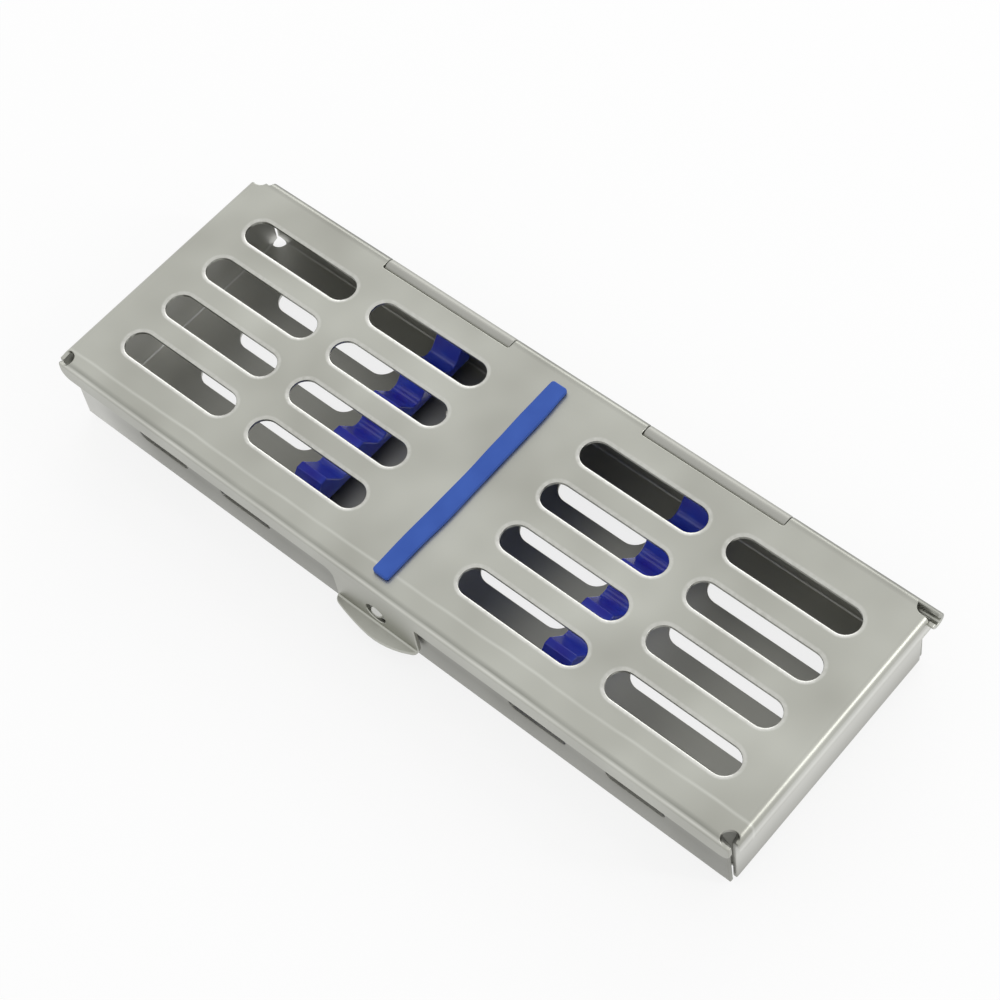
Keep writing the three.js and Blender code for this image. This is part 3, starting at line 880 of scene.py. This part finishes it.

# %% [markdown]
# ## The lid and its latch
# The lid is one sheet: a panel with sixteen slots, a flange along the front and one at each end, and
# rolled knuckles along the rear. A round relief hole at each front corner, and a half-moon at each end of
# the roll, let the flanges fold without tearing. The latch is part of the same sheet. It is a tongue in the
# middle of the front flange, with a round hole that snaps over a stud and an edge turned out as a finger
# lip. It could be a mesh of its own, but on the real lid it works because the sheet bends there. So the
# whole sheet is one mesh.

# %% Lid sizes
LID_BEND = 1.6 * MM
LID_BEND_LENGTH = LID_BEND * QUARTER
LID_TOP = lid_high[2]
LID_END = -lid_low[0]
LID_FRONT = latch_high[1] - SHEET
FLANGE_BOTTOM = lid_low[2]
FLANGE_REAR = HINGE.y - 1.3 * MM
TAIL_REAR = -tray_low[1] - 0.4 * MM
FRONT_FOLD = LID_FRONT + LID_BEND
END_FOLD = LID_END - LID_BEND
FLANGE_HEIGHT = LID_TOP - LID_BEND - FLANGE_BOTTOM
FLANGE_EDGE = FRONT_FOLD - LID_BEND_LENGTH - FLANGE_HEIGHT
END_EDGE = END_FOLD + LID_BEND_LENGTH + FLANGE_HEIGHT
TAIL_START = END_EDGE - (HINGE.z - ROLL_RADIUS - GAP - FLANGE_BOTTOM)
FRONT_HALF = LID_END - 0.9 * MM
FRONT_HALF_FOOT = LID_END - 0.4 * MM
END_FRONT = {-1: LID_FRONT + 1.35 * MM, 1: LID_FRONT + 2.1 * MM}
CORNER_SPLIT = LID_FRONT + 0.6 * MM
FLANGE_CORNER = 2.5 * MM

RELIEF_RADIUS = 2.0 * MM
RELIEF_X = LID_END - 1.65 * MM
RELIEF_FRONT = LID_FRONT + 1.65 * MM
RELIEF_REAR = HINGE.y + 0.55 * MM
LID_ROLL_TURN = radians(275)
# inside the half-moon the roll is notched to about half a turn, so that the dark bore shows
ROLL_NOTCH_TURN = radians(190)
ROLL_NOTCH_END = LID_END - 0.3 * MM

LIP_BEND = 0.5 * MM
LIP_TOP = FLANGE_BOTTOM - 8.7 * MM
LIP_DROOP = radians(6)
LIP_REACH = LID_FRONT - latch_low[1]
LIP_TRIM = 0.2 * MM
LIP_CORNER = 1.8 * MM
LIP_PEAK = 1.5 * MM
LIP_LEFT_FALL = (10.1 * MM, 1.6 * MM, 1.5)
LIP_RIGHT_FALL = (8.5 * MM, 1.8 * MM, 2.0)
TAB_LEFT, TAB_RIGHT = latch_low[0], latch_high[0]
TAB_ROOT_LEFT = 2.2 * MM
TAB_ROOT_RIGHT = 0.3 * MM
TAB_FALL = FLANGE_BOTTOM - LIP_TOP - LIP_BEND
TAB_FOLD = FLANGE_EDGE - TAB_FALL
LIP_FOLD_END = TAB_FOLD - LIP_BEND * (QUARTER - LIP_DROOP)

LID_SLOT_LENGTH = 30.8 * MM
LID_SLOT_WIDTH = 6.7 * MM
LID_COLUMNS = [-65.6 * MM, -28.8 * MM, 28.8 * MM, 65.6 * MM]
CATCH_CENTRE = 0.7 * MM
CATCH_FALL = 5.1 * MM
CATCH_RADIUS = 2.6 * MM
# the painted rim highlight: how it spreads round a slot from its front rim, and the least that a rim gets
RIM_HIGHLIGHT_SPREAD = 0.35
RIM_HIGHLIGHT_LEAST = 0.5
NECK_SLOT_LENGTH = 52.5 * MM
NECK_SLOT_WIDTH = 2.2 * MM
NECK_SLOT_CORNER = 0.8 * MM
bar_low, bar_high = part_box("hold_down_bar")
BAR_CENTRE = ((bar_low[0] + bar_high[0]) / 2, (bar_low[1] + bar_high[1]) / 2)
print("flange edge at", round(FLANGE_EDGE / MM, 2), "mm on the blank, lip fold at", round(TAB_FOLD / MM, 2))


# %% Lid sections
def lid_lengthwise():
    section = Section((0.0, LID_TOP), 0.0)
    section.ahead(HINGE.y).ahead(ROLL_RADIUS * LID_ROLL_TURN, -1 / ROLL_RADIUS)
    section.behind(-FRONT_FOLD).behind(LID_BEND_LENGTH, -1 / LID_BEND)
    section.behind(FLANGE_HEIGHT + TAB_FALL)
    section.behind(LIP_BEND * (QUARTER - LIP_DROOP), 1 / LIP_BEND)
    return section.behind(LIP_REACH)


def lid_crosswise():
    section = Section((0.0, LID_TOP), 0.0)
    return section.ahead(END_FOLD).ahead(LID_BEND_LENGTH, -1 / LID_BEND).ahead(FLANGE_HEIGHT)


print("the lid is cut", round((lid_lengthwise().high[0] - FLANGE_EDGE) / MM, 1), "mm deep, without its lip")

# %% Lid outline
LIP_POINTS = 14


def lip_edge(u):
    """Where the lip ends on the blank. It reaches furthest a little right of the middle."""
    distance, fall, power = LIP_LEFT_FALL if u < LIP_PEAK else LIP_RIGHT_FALL
    reach = LIP_REACH - LIP_TRIM - fall * (abs(u - LIP_PEAK) / distance) ** power
    return LIP_FOLD_END - (reach - LIP_BEND) / cos(LIP_DROOP)


def lid_front_outline():
    """From the left end of the front flange to its right end, round the tab."""
    lip = [TAB_LEFT + (TAB_RIGHT - TAB_LEFT) * i / LIP_POINTS for i in range(LIP_POINTS + 1)]
    corners = [(-FRONT_HALF_FOOT, FLANGE_EDGE, FLANGE_CORNER), (TAB_LEFT, FLANGE_EDGE, TAB_ROOT_LEFT)]
    corners += [(lip[0], lip_edge(lip[0]), LIP_CORNER)]
    corners += [(u, lip_edge(u), 0) for u in lip[2:-2]]  # clear of the rounded corners
    corners += [(lip[-1], lip_edge(lip[-1]), LIP_CORNER)]
    return corners + [(TAB_RIGHT, FLANGE_EDGE, TAB_ROOT_RIGHT), (FRONT_HALF_FOOT, FLANGE_EDGE, FLANGE_CORNER)]


def relief_at_front(side):
    """The relief hole between the front flange and an end flange, from the former to the latter."""
    start = pi + acos((RELIEF_X - FRONT_HALF) / RELIEF_RADIUS)
    end = -asin((RELIEF_FRONT - END_FRONT[side]) / RELIEF_RADIUS)
    points = arc((RELIEF_X, RELIEF_FRONT), RELIEF_RADIUS, start, end)
    return [(side * x, y, 0) for x, y in points]


def relief_at_rear(side, inner):
    """The half-moon behind an end flange, from the flange to a level of the roll."""
    start = -pi / 2 + acos((RELIEF_REAR - FLANGE_REAR) / RELIEF_RADIUS)
    end = -pi + asin((RELIEF_REAR - inner) / RELIEF_RADIUS)
    points = arc((RELIEF_X, RELIEF_REAR), RELIEF_RADIUS, start, end)
    return [(side * x, y, 0) for x, y in points]


def lid_rear_outline(roll_edge):
    """From the right rear relief to the left one, round the knuckles."""
    notch = HINGE.y + ROLL_RADIUS * ROLL_NOTCH_TURN
    inner = RELIEF_X - RELIEF_RADIUS
    corners = [(ROLL_END, RELIEF_REAR, TRIM_RADIUS), (ROLL_END, roll_edge, TRIM_RADIUS)]
    corners += [(ROLL_NOTCH_END, roll_edge, TRIM_RADIUS), (ROLL_NOTCH_END, notch, TRIM_RADIUS)]
    corners += [(inner, notch, TRIM_RADIUS), (inner, roll_edge, TRIM_RADIUS)]
    for index in reversed(LID_KNUCKLES):
        start, end = knuckle_span(index)
        if index != LID_KNUCKLES[-1]:
            corners += [(end, BAY_FRONT, TRIM_RADIUS), (end, roll_edge, TRIM_RADIUS)]
        corners.append((start, roll_edge, TRIM_RADIUS))
        corners.append((start, BAY_FRONT if index else HINGE.y, TRIM_RADIUS))
    return corners


def lid_outline(section):
    front_left = relief_at_front(-1)
    corners = lid_front_outline() + relief_at_front(1)
    tail = [(END_EDGE, TAIL_REAR, TRIM_RADIUS), (TAIL_START, TAIL_REAR, TRIM_RADIUS),
            (TAIL_START, FLANGE_REAR, TRIM_RADIUS)]
    corners += [(END_EDGE, END_FRONT[1], FLANGE_CORNER)] + tail
    corners += relief_at_rear(1, RELIEF_REAR)
    corners += lid_rear_outline(section.high[0])
    corners += relief_at_rear(-1, HINGE.y)[::-1]
    corners += [(-u, v, radius) for u, v, radius in reversed(tail)]
    corners.append((-END_EDGE, END_FRONT[-1], FLANGE_CORNER))
    return rounded(corners + front_left[::-1])


print("the lid's outline has", len(lid_outline(lid_lengthwise())), "points")

# %% Lid rows and holes
OVERRUN = 1.0 * MM
TAB_ROWS = 10


def lid_rows(section, side_section):
    rows = level_rows([v for v in section.bends() if v > 0], -END_FOLD, ROLL_END + OVERRUN)
    rows += level_rows([v for v in section.bends() if FLANGE_EDGE < v < 0],
                       -FRONT_HALF_FOOT - OVERRUN, FRONT_HALF_FOOT + OVERRUN)
    rows += level_rows([v for v in section.bends() if v < FLANGE_EDGE],
                       TAB_LEFT - OVERRUN, TAB_RIGHT + OVERRUN)
    steps = [FLANGE_EDGE - TAB_FALL * k / TAB_ROWS for k in range(1, TAB_ROWS)]
    rows += level_rows(steps, TAB_LEFT - OVERRUN, TAB_RIGHT + OVERRUN)
    for side in (-1, 1):
        rows += upright_rows([side * u for u in side_section.bends()],
                             END_FRONT[side] - OVERRUN, FLANGE_REAR + OVERRUN)
    return rows


def lid_holes():
    holes = [round_slot((x, y), LID_SLOT_LENGTH, LID_SLOT_WIDTH) for x in LID_COLUMNS for y in ROWS]
    holes.append(arc((CATCH_CENTRE, FLANGE_EDGE - CATCH_FALL), CATCH_RADIUS, 0, 2 * pi)[:-1])
    x, y = BAR_CENTRE
    half_x, half_y = NECK_SLOT_WIDTH / 2, NECK_SLOT_LENGTH / 2
    holes.append(rounded(box_corners(x - half_x, x + half_x, y - half_y, y + half_y, NECK_SLOT_CORNER)))
    return holes


def lid_reach(v):
    """How far a rim reaches in: further at the panel's slots than at the catch's hole."""
    return PUNCH_REACH if v > FRONT_FOLD else EDGE


def lid_rim_highlight(v, way):
    """A painted highlight: palest on the slots' front rims, which tilt towards the lamp behind, and at least
    half as pale on the rest of each panel hole's rim; holes below the front fold get none.
    """
    return min(1.0, max(RIM_HIGHLIGHT_LEAST, (way.y + RIM_HIGHLIGHT_SPREAD) / (1 + RIM_HIGHLIGHT_SPREAD))) if v > FRONT_FOLD else 0.0


print("the lid has", len(lid_holes()), "holes")


def build_lid():
    section, side_section = lid_lengthwise(), lid_crosswise()

    def on_side(u, v):
        return u > END_FOLD and CORNER_SPLIT < v < FLANGE_REAR + EDGE or u > ROLL_END + EDGE

    fold = bent_fold(section, side_section, on_side)
    return sheet_mesh("lid_sheet", lid_outline(section), lid_holes(),
                      lid_rows(section, side_section), fold, SHEET, EDGE, lid_reach, lid_rim_highlight)


lid_sheet = add_piece("lid_sheet", build_lid(), LID_STEEL, "lid_steel", None, "lid_panel", "latch_tab")
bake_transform(lid_sheet)

# %% [markdown]
# ## The tray
# The tray is folded like the lid, with its faces the other way round: the outer face is underneath. Its
# corners are left open, with a round relief hole at each, so that the four walls fold up without tearing.
# The front corners are clipped at the top, which keeps them clear of the lid's rounded corners. At the
# rear, two stretches of the wall go on up and roll round the hinge wire. A box with a boolean for each slot
# would look alike from afar, but this way the folds, the reliefs and the rolls are where a press puts them.

# %% Tray sizes
TRAY_BEND = 1.5 * MM
TRAY_BEND_LENGTH = TRAY_BEND * QUARTER
TRAY_END = tray_high[0]
TRAY_REAR = -tray_low[1]
WALL_TOP = LID_TOP - SHEET - GAP
ROLL_CLEAR = HINGE.z - ROLL_RADIUS - GAP
FLOOR_X = TRAY_END - TRAY_BEND
FLOOR_Y = TRAY_REAR - TRAY_BEND
LONG_WALL_HALF = TRAY_END - 0.5 * MM
LONG_WALL_HALF_TOP = TRAY_END - 1.1 * MM
CLIP = 3.0 * MM
CLIP_FOOT = FLANGE_BOTTOM + 0.8 * MM
WALL_FOOT = FLOOR_Y + TRAY_BEND_LENGTH - TRAY_BEND
END_WALL_FOOT = FLOOR_X + TRAY_BEND_LENGTH - TRAY_BEND
TRAY_RELIEF = 1.95 * MM
JOG_RADIUS = 1.0 * MM
JOG_TURN = acos(1 - (HINGE.y + ROLL_RADIUS - TRAY_REAR) / (ROLL_RADIUS + JOG_RADIUS))
JOG_START = HINGE.z - (ROLL_RADIUS + JOG_RADIUS) * sin(JOG_TURN)
TRAY_ROLL_END = radians(230)

FLOOR_CENTRE = 1.8 * MM
FLOOR_SLOT_WIDTH = 7.2 * MM
OUTER_SLOT = (60.55 * MM, 34.3 * MM)
INNER_SLOT = (15.7 * MM, 23.3 * MM)
VENT_LENGTH = 14.3 * MM
VENT_HEIGHT = 3.0 * MM
VENT_DROP = 5.6 * MM
VENTS = [-63.8 * MM, -39.6 * MM, 39.6 * MM, 63.8 * MM]
print("the rear wall leaves its plane at", round(JOG_START / MM, 2), "mm up")


# %% Tray sections
def tray_lengthwise():
    section = Section((0.0, 0.0), 0.0, outer=-1)
    section.behind(FLOOR_Y).behind(TRAY_BEND_LENGTH, 1 / TRAY_BEND).behind(WALL_TOP - TRAY_BEND)
    section.ahead(FLOOR_Y).ahead(TRAY_BEND_LENGTH, 1 / TRAY_BEND).ahead(JOG_START - TRAY_BEND)
    section.ahead(JOG_RADIUS * JOG_TURN, -1 / JOG_RADIUS)
    return section.ahead(ROLL_RADIUS * (JOG_TURN + TRAY_ROLL_END), 1 / ROLL_RADIUS)


def tray_crosswise():
    section = Section((0.0, 0.0), 0.0, outer=-1)
    return section.ahead(FLOOR_X).ahead(TRAY_BEND_LENGTH, 1 / TRAY_BEND).ahead(WALL_TOP - TRAY_BEND)


print("the tray is cut", round(2 * tray_crosswise().high[0] / MM, 1), "mm wide")

# %% Tray outline
def tray_right_end():
    """Outline of the right end, from the front wall's top to the rear wall's top."""
    beside = acos((FLOOR_X - LONG_WALL_HALF) / TRAY_RELIEF)
    end_top = END_WALL_FOOT + WALL_TOP
    corners = [(LONG_WALL_HALF_TOP - CLIP, -WALL_FOOT - WALL_TOP, TRIM_RADIUS)]
    corners += [(LONG_WALL_HALF_TOP, -WALL_FOOT - CLIP_FOOT, TRIM_RADIUS)]
    corners += [(x, y, 0) for x, y in arc((FLOOR_X, -FLOOR_Y), TRAY_RELIEF, pi + beside, 0)]
    corners += [(END_WALL_FOOT + CLIP_FOOT, -FLOOR_Y, TRIM_RADIUS)]
    corners += [(end_top, -FLOOR_Y + CLIP, TRIM_RADIUS), (end_top, ROLL_FRONT, TRIM_RADIUS)]
    corners += [(END_WALL_FOOT + ROLL_CLEAR, ROLL_FRONT, TRIM_RADIUS)]
    corners += [(END_WALL_FOOT + ROLL_CLEAR, FLOOR_Y, TRIM_RADIUS)]
    corners += [(x, y, 0) for x, y in arc((FLOOR_X, FLOOR_Y), TRAY_RELIEF, 0, -pi - beside)]
    return corners + [(LONG_WALL_HALF_TOP, WALL_FOOT + ROLL_CLEAR, TRIM_RADIUS)]


def tray_outline(roll_edge):
    right = tray_right_end()
    corners = list(right)
    rear_top = WALL_FOOT + ROLL_CLEAR
    for index in reversed(TRAY_KNUCKLES):
        start, end = knuckle_span(index)
        corners += [(end, rear_top, TRIM_RADIUS), (end, roll_edge, TRIM_RADIUS)]
        corners += [(start, roll_edge, TRIM_RADIUS), (start, rear_top, TRIM_RADIUS)]
    return rounded(corners + [(-u, v, radius) for u, v, radius in reversed(right)])


print("the tray's outline has", len(tray_outline(tray_lengthwise().high[0])), "points")

# %% Tray mesh
def tray_holes():
    holes = []
    for centre, length in (OUTER_SLOT, INNER_SLOT):
        for side in (-1, 1):
            holes += [round_slot((FLOOR_CENTRE + side * centre, y), length, FLOOR_SLOT_WIDTH) for y in ROWS]
    vent_up = FLANGE_BOTTOM - VENT_DROP
    holes += [round_slot((FLOOR_CENTRE + x, -WALL_FOOT - vent_up), VENT_LENGTH, VENT_HEIGHT) for x in VENTS]
    return holes


def tray_rows(section, side_section):
    rows = level_rows([v for v in section.bends() if abs(v) < WALL_FOOT + TRAY_BEND],
                      -LONG_WALL_HALF - OVERRUN, LONG_WALL_HALF + OVERRUN)
    rolls = [v for v in section.bends() if v > WALL_FOOT + ROLL_CLEAR]
    for index in TRAY_KNUCKLES:
        start, end = knuckle_span(index)
        rows += level_rows(rolls, start - OVERRUN, end + OVERRUN)
    for side in (-1, 1):
        rows += upright_rows([side * u for u in side_section.bends()], -FLOOR_Y - OVERRUN, FLOOR_Y + OVERRUN)
    return rows


def build_tray():
    section, side_section = tray_lengthwise(), tray_crosswise()
    fold = bent_fold(section, side_section, lambda u, v: u > FLOOR_X and abs(v) < FLOOR_Y + EDGE)
    return sheet_mesh("tray_sheet", tray_outline(section.high[0]), tray_holes(),
                      tray_rows(section, side_section), fold, SHEET, EDGE)


add_piece("tray_sheet", build_tray(), TRAY_STEEL, "tray_steel", "tray", "tray_pan")

# %% [markdown]
# ## The hinge wire and the catch stud
# Both are turned shapes: a profile goes round an axis. The wire has slightly domed ends, and it stops short
# of the half-moon at the right, where the roll is seen to be empty. The stud is a flattened dome, welded to
# the front wall, and the latch's hole snaps over it. A scaled sphere would do for a hidden stud, but this
# one is seen through the hole, so its profile is drawn a little squarer, as a pressed one is.

# %% Turned pieces and the wire
def turned_mesh(name, profile, segments, place):
    """A closed turned mesh. profile is (radius, height) from axis to axis, place maps (a, b, height)."""
    rings, polygons, points = [], [], []
    for radius, height in profile:
        if radius == 0:
            rings.append([len(points)])
            points.append(place(0.0, 0.0, height))
            continue
        rings.append([len(points) + i for i in range(segments)])
        points += [place(radius * cos(2 * pi * i / segments), radius * sin(2 * pi * i / segments), height)
                   for i in range(segments)]
    for first, second in zip(rings, rings[1:]):
        for i in range(segments):
            a, b = first[i % len(first)], first[(i + 1) % len(first)]
            c, d = second[(i + 1) % len(second)], second[i % len(second)]
            polygons.append(tuple(dict.fromkeys((a, b, c, d))))
    mesh = bpy.data.meshes.new(name)
    mesh.from_pydata(points, [], polygons)
    mesh.validate()
    work = bmesh.new()
    work.from_mesh(mesh)
    bmesh.ops.recalc_face_normals(work, faces=work.faces)
    work.to_mesh(mesh)
    work.free()
    mesh.shade_smooth()
    return mesh


PIN_SEGMENTS = 32
PIN_DOME = 0.25 * MM
PIN_END = RELIEF_X - RELIEF_RADIUS - 0.5 * MM
DOME_STEPS = 5
pin_low, pin_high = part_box("hinge_pin")


def build_pin():
    radius = pin_high[2] - HINGE.z
    length = PIN_END - pin_low[0]
    dome = [(radius * cos(QUARTER * k / DOME_STEPS), PIN_DOME * sin(QUARTER * k / DOME_STEPS))
            for k in range(DOME_STEPS)] + [(0, PIN_DOME)]
    low = [(r, PIN_DOME - h) for r, h in reversed(dome)]
    high = [(r, length - PIN_DOME + h) for r, h in dome]
    return turned_mesh("hinge_wire", low + high, PIN_SEGMENTS,
                       lambda a, b, h: (pin_low[0] + h, HINGE.y + a, HINGE.z + b))


add_piece("hinge_wire", build_pin(), PIN_STEEL, "pin_steel", "tray", "hinge_pin")

# %% Catch stud
STUD_SEGMENTS = 36
STUD_SQUARE = 2.6
STUD_STEPS = 10
stud_low, stud_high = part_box("catch_stud")


def build_stud():
    """A dome whose profile is a little squarer than an ellipse."""
    half_x, half_z = (stud_high[0] - stud_low[0]) / 2, (stud_high[2] - stud_low[2]) / 2
    centre = (stud_low + stud_high) / 2
    reach = stud_high[1] - stud_low[1]
    profile = [(0, 0.0)]
    for k in range(STUD_STEPS):
        turn = QUARTER * k / STUD_STEPS
        profile.append((cos(turn) ** (2 / STUD_SQUARE), sin(turn) ** (2 / STUD_SQUARE)))
    profile.append((0, 1.0))
    return turned_mesh("catch_nub", profile, STUD_SEGMENTS, lambda a, b, h: (
        centre.x + half_x * a, stud_high[1] - reach * h, centre.z + half_z * b))


add_piece("catch_nub", build_stud(), PIN_STEEL, "tray_steel", "tray", "catch_stud")

# %% [markdown]
# ## The brackets
# Each rack is pushed onto the upstand of a thin steel angle on the tray floor. The angle is folded from
# sheet too, so it is made by the same three steps: section, outline, mesh.

# %% Brackets
BRACKET_BEND = 1.3 * MM
BRACKET_CORNER = 1.5 * MM


def build_bracket(node, side):
    low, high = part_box(node)
    reach = high[0] - low[0]
    face = low[0] if side > 0 else high[0]
    section = Section((reach, low[2]), pi)
    section.ahead(reach - BRACKET_BEND).ahead(BRACKET_BEND * QUARTER, -1 / BRACKET_BEND)
    section.ahead(high[2] - low[2] - BRACKET_BEND)
    outline = rounded(box_corners(low[1], high[1], 0.0, section.high[0], BRACKET_CORNER))

    def fold(u, v):
        flat, along, normal = section.at(v)
        return (Vector((face + side * flat.x, u, flat.y)), Vector((0, 1, 0)),
                Vector((side * along.x, 0, along.y)), Vector((side * normal.x, 0, normal.y)))

    rows = level_rows(section.bends(), low[1] - OVERRUN, high[1] + OVERRUN)
    return sheet_mesh(node + "_sheet", outline, [], rows, fold, SHEET, EDGE)


for side, name in ((-1, "left"), (1, "right")):
    node = name + "_rack_bracket"
    add_piece(node + "_sheet", build_bracket(node, side), TRAY_STEEL, "bracket_steel", "tray", node)

# %% [markdown]
# ## The silicone racks
# A rack is a moulded bar with five notches. It is drawn as a plate that stands on edge: the notched
# outline, a thickness, and rims that are rounded more than steel is. A groove along its underside takes
# the bracket's upstand, and it is cut with a boolean, because a plate can't have it in its outline.

# %% Plates and cuts
def plate_mesh(name, outline, place, thickness, edge):
    """A flat plate with rounded rims. place(u, v) gives (point, along u, along v, normal)."""
    return sheet_mesh(name, outline, [], [], place, thickness, edge)


def combined(name, base, other, operation):
    """One mesh from two closed ones, joined or cut exactly."""
    first = bpy.data.objects.new(name, base)
    second = bpy.data.objects.new(name + "_tool", other)
    for item in (first, second):
        bpy.context.scene.collection.objects.link(item)
    modifier = first.modifiers.new("combine", "BOOLEAN")
    modifier.operation = operation
    modifier.solver = "EXACT"
    modifier.object = second
    bpy.context.view_layer.update()
    mesh = bpy.data.meshes.new_from_object(first.evaluated_get(bpy.context.evaluated_depsgraph_get()))
    for item in (first, second):
        bpy.data.objects.remove(item)
    mesh.name = name
    return mesh


def facing_right(x):
    """Stands a plate upright with its face to the right, at x."""
    def place(u, v):
        return Vector((x, u, v)), Vector((0, 1, 0)), Vector((0, 0, 1)), Vector((1, 0, 0))
    return place


print("a plate's corner, stood up:", [round(value, 2) for value in facing_right(0.0)(0.1, 0.2)[0]])

# %% Racks
RACK_NOTCHES = 5
CREST_WIDTH = 1.8 * MM
CREST_RADIUS = 0.4 * MM
RACK_FOOT_RADIUS = 0.6 * MM
NOTCH_RADIUS = 2.2 * MM
NOTCH_FLANK = radians(38)
RACK_EDGE = 0.38 * MM
GROOVE_DEPTH = 1.2 * MM


def rack_outline(low, high):
    pitch = (high[1] - low[1]) / RACK_NOTCHES
    middle = (low[1] + high[1]) / 2
    mouth = (pitch - CREST_WIDTH) / 2
    centre_z = high[2] - mouth / tan(NOTCH_FLANK) + NOTCH_RADIUS / sin(NOTCH_FLANK)
    corners = [(low[1], low[2], RACK_FOOT_RADIUS), (high[1], low[2], RACK_FOOT_RADIUS)]
    corners += [(high[1], high[2], CREST_RADIUS)]
    for notch in reversed(range(RACK_NOTCHES)):
        y = middle + (notch - (RACK_NOTCHES - 1) / 2) * pitch
        corners.append((y + mouth, high[2], CREST_RADIUS))
        bottom = arc((y, centre_z), NOTCH_RADIUS, -NOTCH_FLANK, NOTCH_FLANK - pi)
        corners += [(u, v, 0) for u, v in bottom]
        corners.append((y - mouth, high[2], CREST_RADIUS))
    return rounded(corners + [(low[1], high[2], CREST_RADIUS)])


def build_rack(node):
    low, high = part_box(node)
    bracket_low, bracket_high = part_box(node + "_bracket")
    rack = plate_mesh(node, rack_outline(low, high), facing_right(high[0]), high[0] - low[0], RACK_EDGE)
    middle = (low[0] + high[0]) / 2
    half = SHEET / 2 + GAP
    corners = box_corners(bracket_low[1] - GAP, bracket_high[1] + GAP, low[2] - OVERRUN,
                          low[2] + GROOVE_DEPTH, TRIM_RADIUS)
    groove = plate_mesh("groove", rounded(corners), facing_right(middle + half), 2 * half, EDGE)
    return combined(node + "_moulding", rack, groove, "DIFFERENCE")


for name in ("left_rack", "right_rack"):
    rack = add_piece(name + "_moulding", build_rack(name), LIGHTENED_RACK_SILICONE, "rack_silicone", "tray", name)
    rack.modifiers.new("flat_faces", "WEIGHTED_NORMAL").keep_sharp = True

# %% [markdown]
# ## The hold-down
# One silicone moulding goes through a slot in the lid: a strip lies on top, a thin neck fills the slot,
# and a deep pad hangs inside and presses on the instruments. Three rounded plates are joined into one
# skin. The strip's long edges wander a little, as silicone that was pulled through a slot does: straight
# ones would look like hard plastic.

# %% Hold-down
STRIP_WIDTH = 4.35 * MM
STRIP_CORNER = 0.7 * MM
STRIP_EDGE = 0.38 * MM
STRIP_POINTS = 30
# how far the left and the right edge stray to the right, in mm, at even steps from rear to front
STRIP_STRAY = {-1: (0.27, 0.35, 0.6, 0.85, 0.8, 0.67, 0.8), 1: (-0.05, 0.4, 0.48, 0.56, 0.72, 0.43, 0.4)}
PAD_INSET = 2.3 * MM
PAD_CORNER = 3.0 * MM
PAD_TOP_CORNER = 0.8 * MM
PAD_EDGE = 0.7 * MM
NECK_CLEARANCE = 0.3 * MM


def facing_up(level):
    """Lays a plate flat with its face up, at a level."""
    def place(u, v):
        return Vector((u, v, level)), Vector((1, 0, 0)), Vector((0, 1, 0)), Vector((0, 0, 1))
    return place


def facing_front(y):
    """Stands a plate upright with its face to the front, at y."""
    def place(u, v):
        return Vector((u, y, v)), Vector((1, 0, 0)), Vector((0, 0, 1)), Vector((0, -1, 0))
    return place


def strip_edge(side):
    """One edge of the strip from rear to front. Soft silicone strays up to a millimetre from straight."""
    x, y = BAR_CENTRE
    half, reach = STRIP_WIDTH / 2, (bar_high[1] - bar_low[1]) / 2
    stray = STRIP_STRAY[side]
    points = []
    for k in range(STRIP_POINTS + 1):
        place = (len(stray) - 1) * k / STRIP_POINTS
        index = min(int(place), len(stray) - 2)
        ease = (1 - cos(pi * (place - index))) / 2
        off = (stray[index] + (stray[index + 1] - stray[index]) * ease) * MM
        corner = STRIP_CORNER if k in (0, STRIP_POINTS) else 0
        points.append((x + side * half + off, y + reach - 2 * reach * k / STRIP_POINTS, corner))
    return points


def build_hold_down():
    x, y = BAR_CENTRE
    top = lid_high[2]
    outline = rounded(strip_edge(-1) + strip_edge(1)[::-1])
    strip = plate_mesh("strip", outline, facing_up(bar_high[2]), bar_high[2] - top, STRIP_EDGE)

    neck_half = NECK_SLOT_WIDTH / 2 - NECK_CLEARANCE
    neck_reach = NECK_SLOT_LENGTH / 2 - NECK_CLEARANCE
    outline = rounded(box_corners(x - neck_half, x + neck_half, y - neck_reach, y + neck_reach, TRIM_RADIUS))
    neck_top = (top + bar_high[2]) / 2
    neck = plate_mesh("neck", outline, facing_up(neck_top), neck_top - top + 2 * SHEET, EDGE)

    under = top - SHEET
    corners = box_corners(bar_low[0], bar_high[0], bar_low[2], under, PAD_CORNER)
    corners[2] = (bar_high[0], under, PAD_TOP_CORNER)
    corners[3] = (bar_low[0], under, PAD_TOP_CORNER)
    front = bar_low[1] + PAD_INSET
    pad = plate_mesh("pad", rounded(corners), facing_front(front), 2 * (y - front), PAD_EDGE)
    return combined("hold_down_moulding", combined("strip_and_neck", strip, neck, "UNION"), pad, "UNION")


hold_down = add_piece("hold_down_moulding", build_hold_down(), BAR_SILICONE, "bar_silicone", "lid",
                      "hold_down_bar")
hold_down.modifiers.new("flat_faces", "WEIGHTED_NORMAL").keep_sharp = True
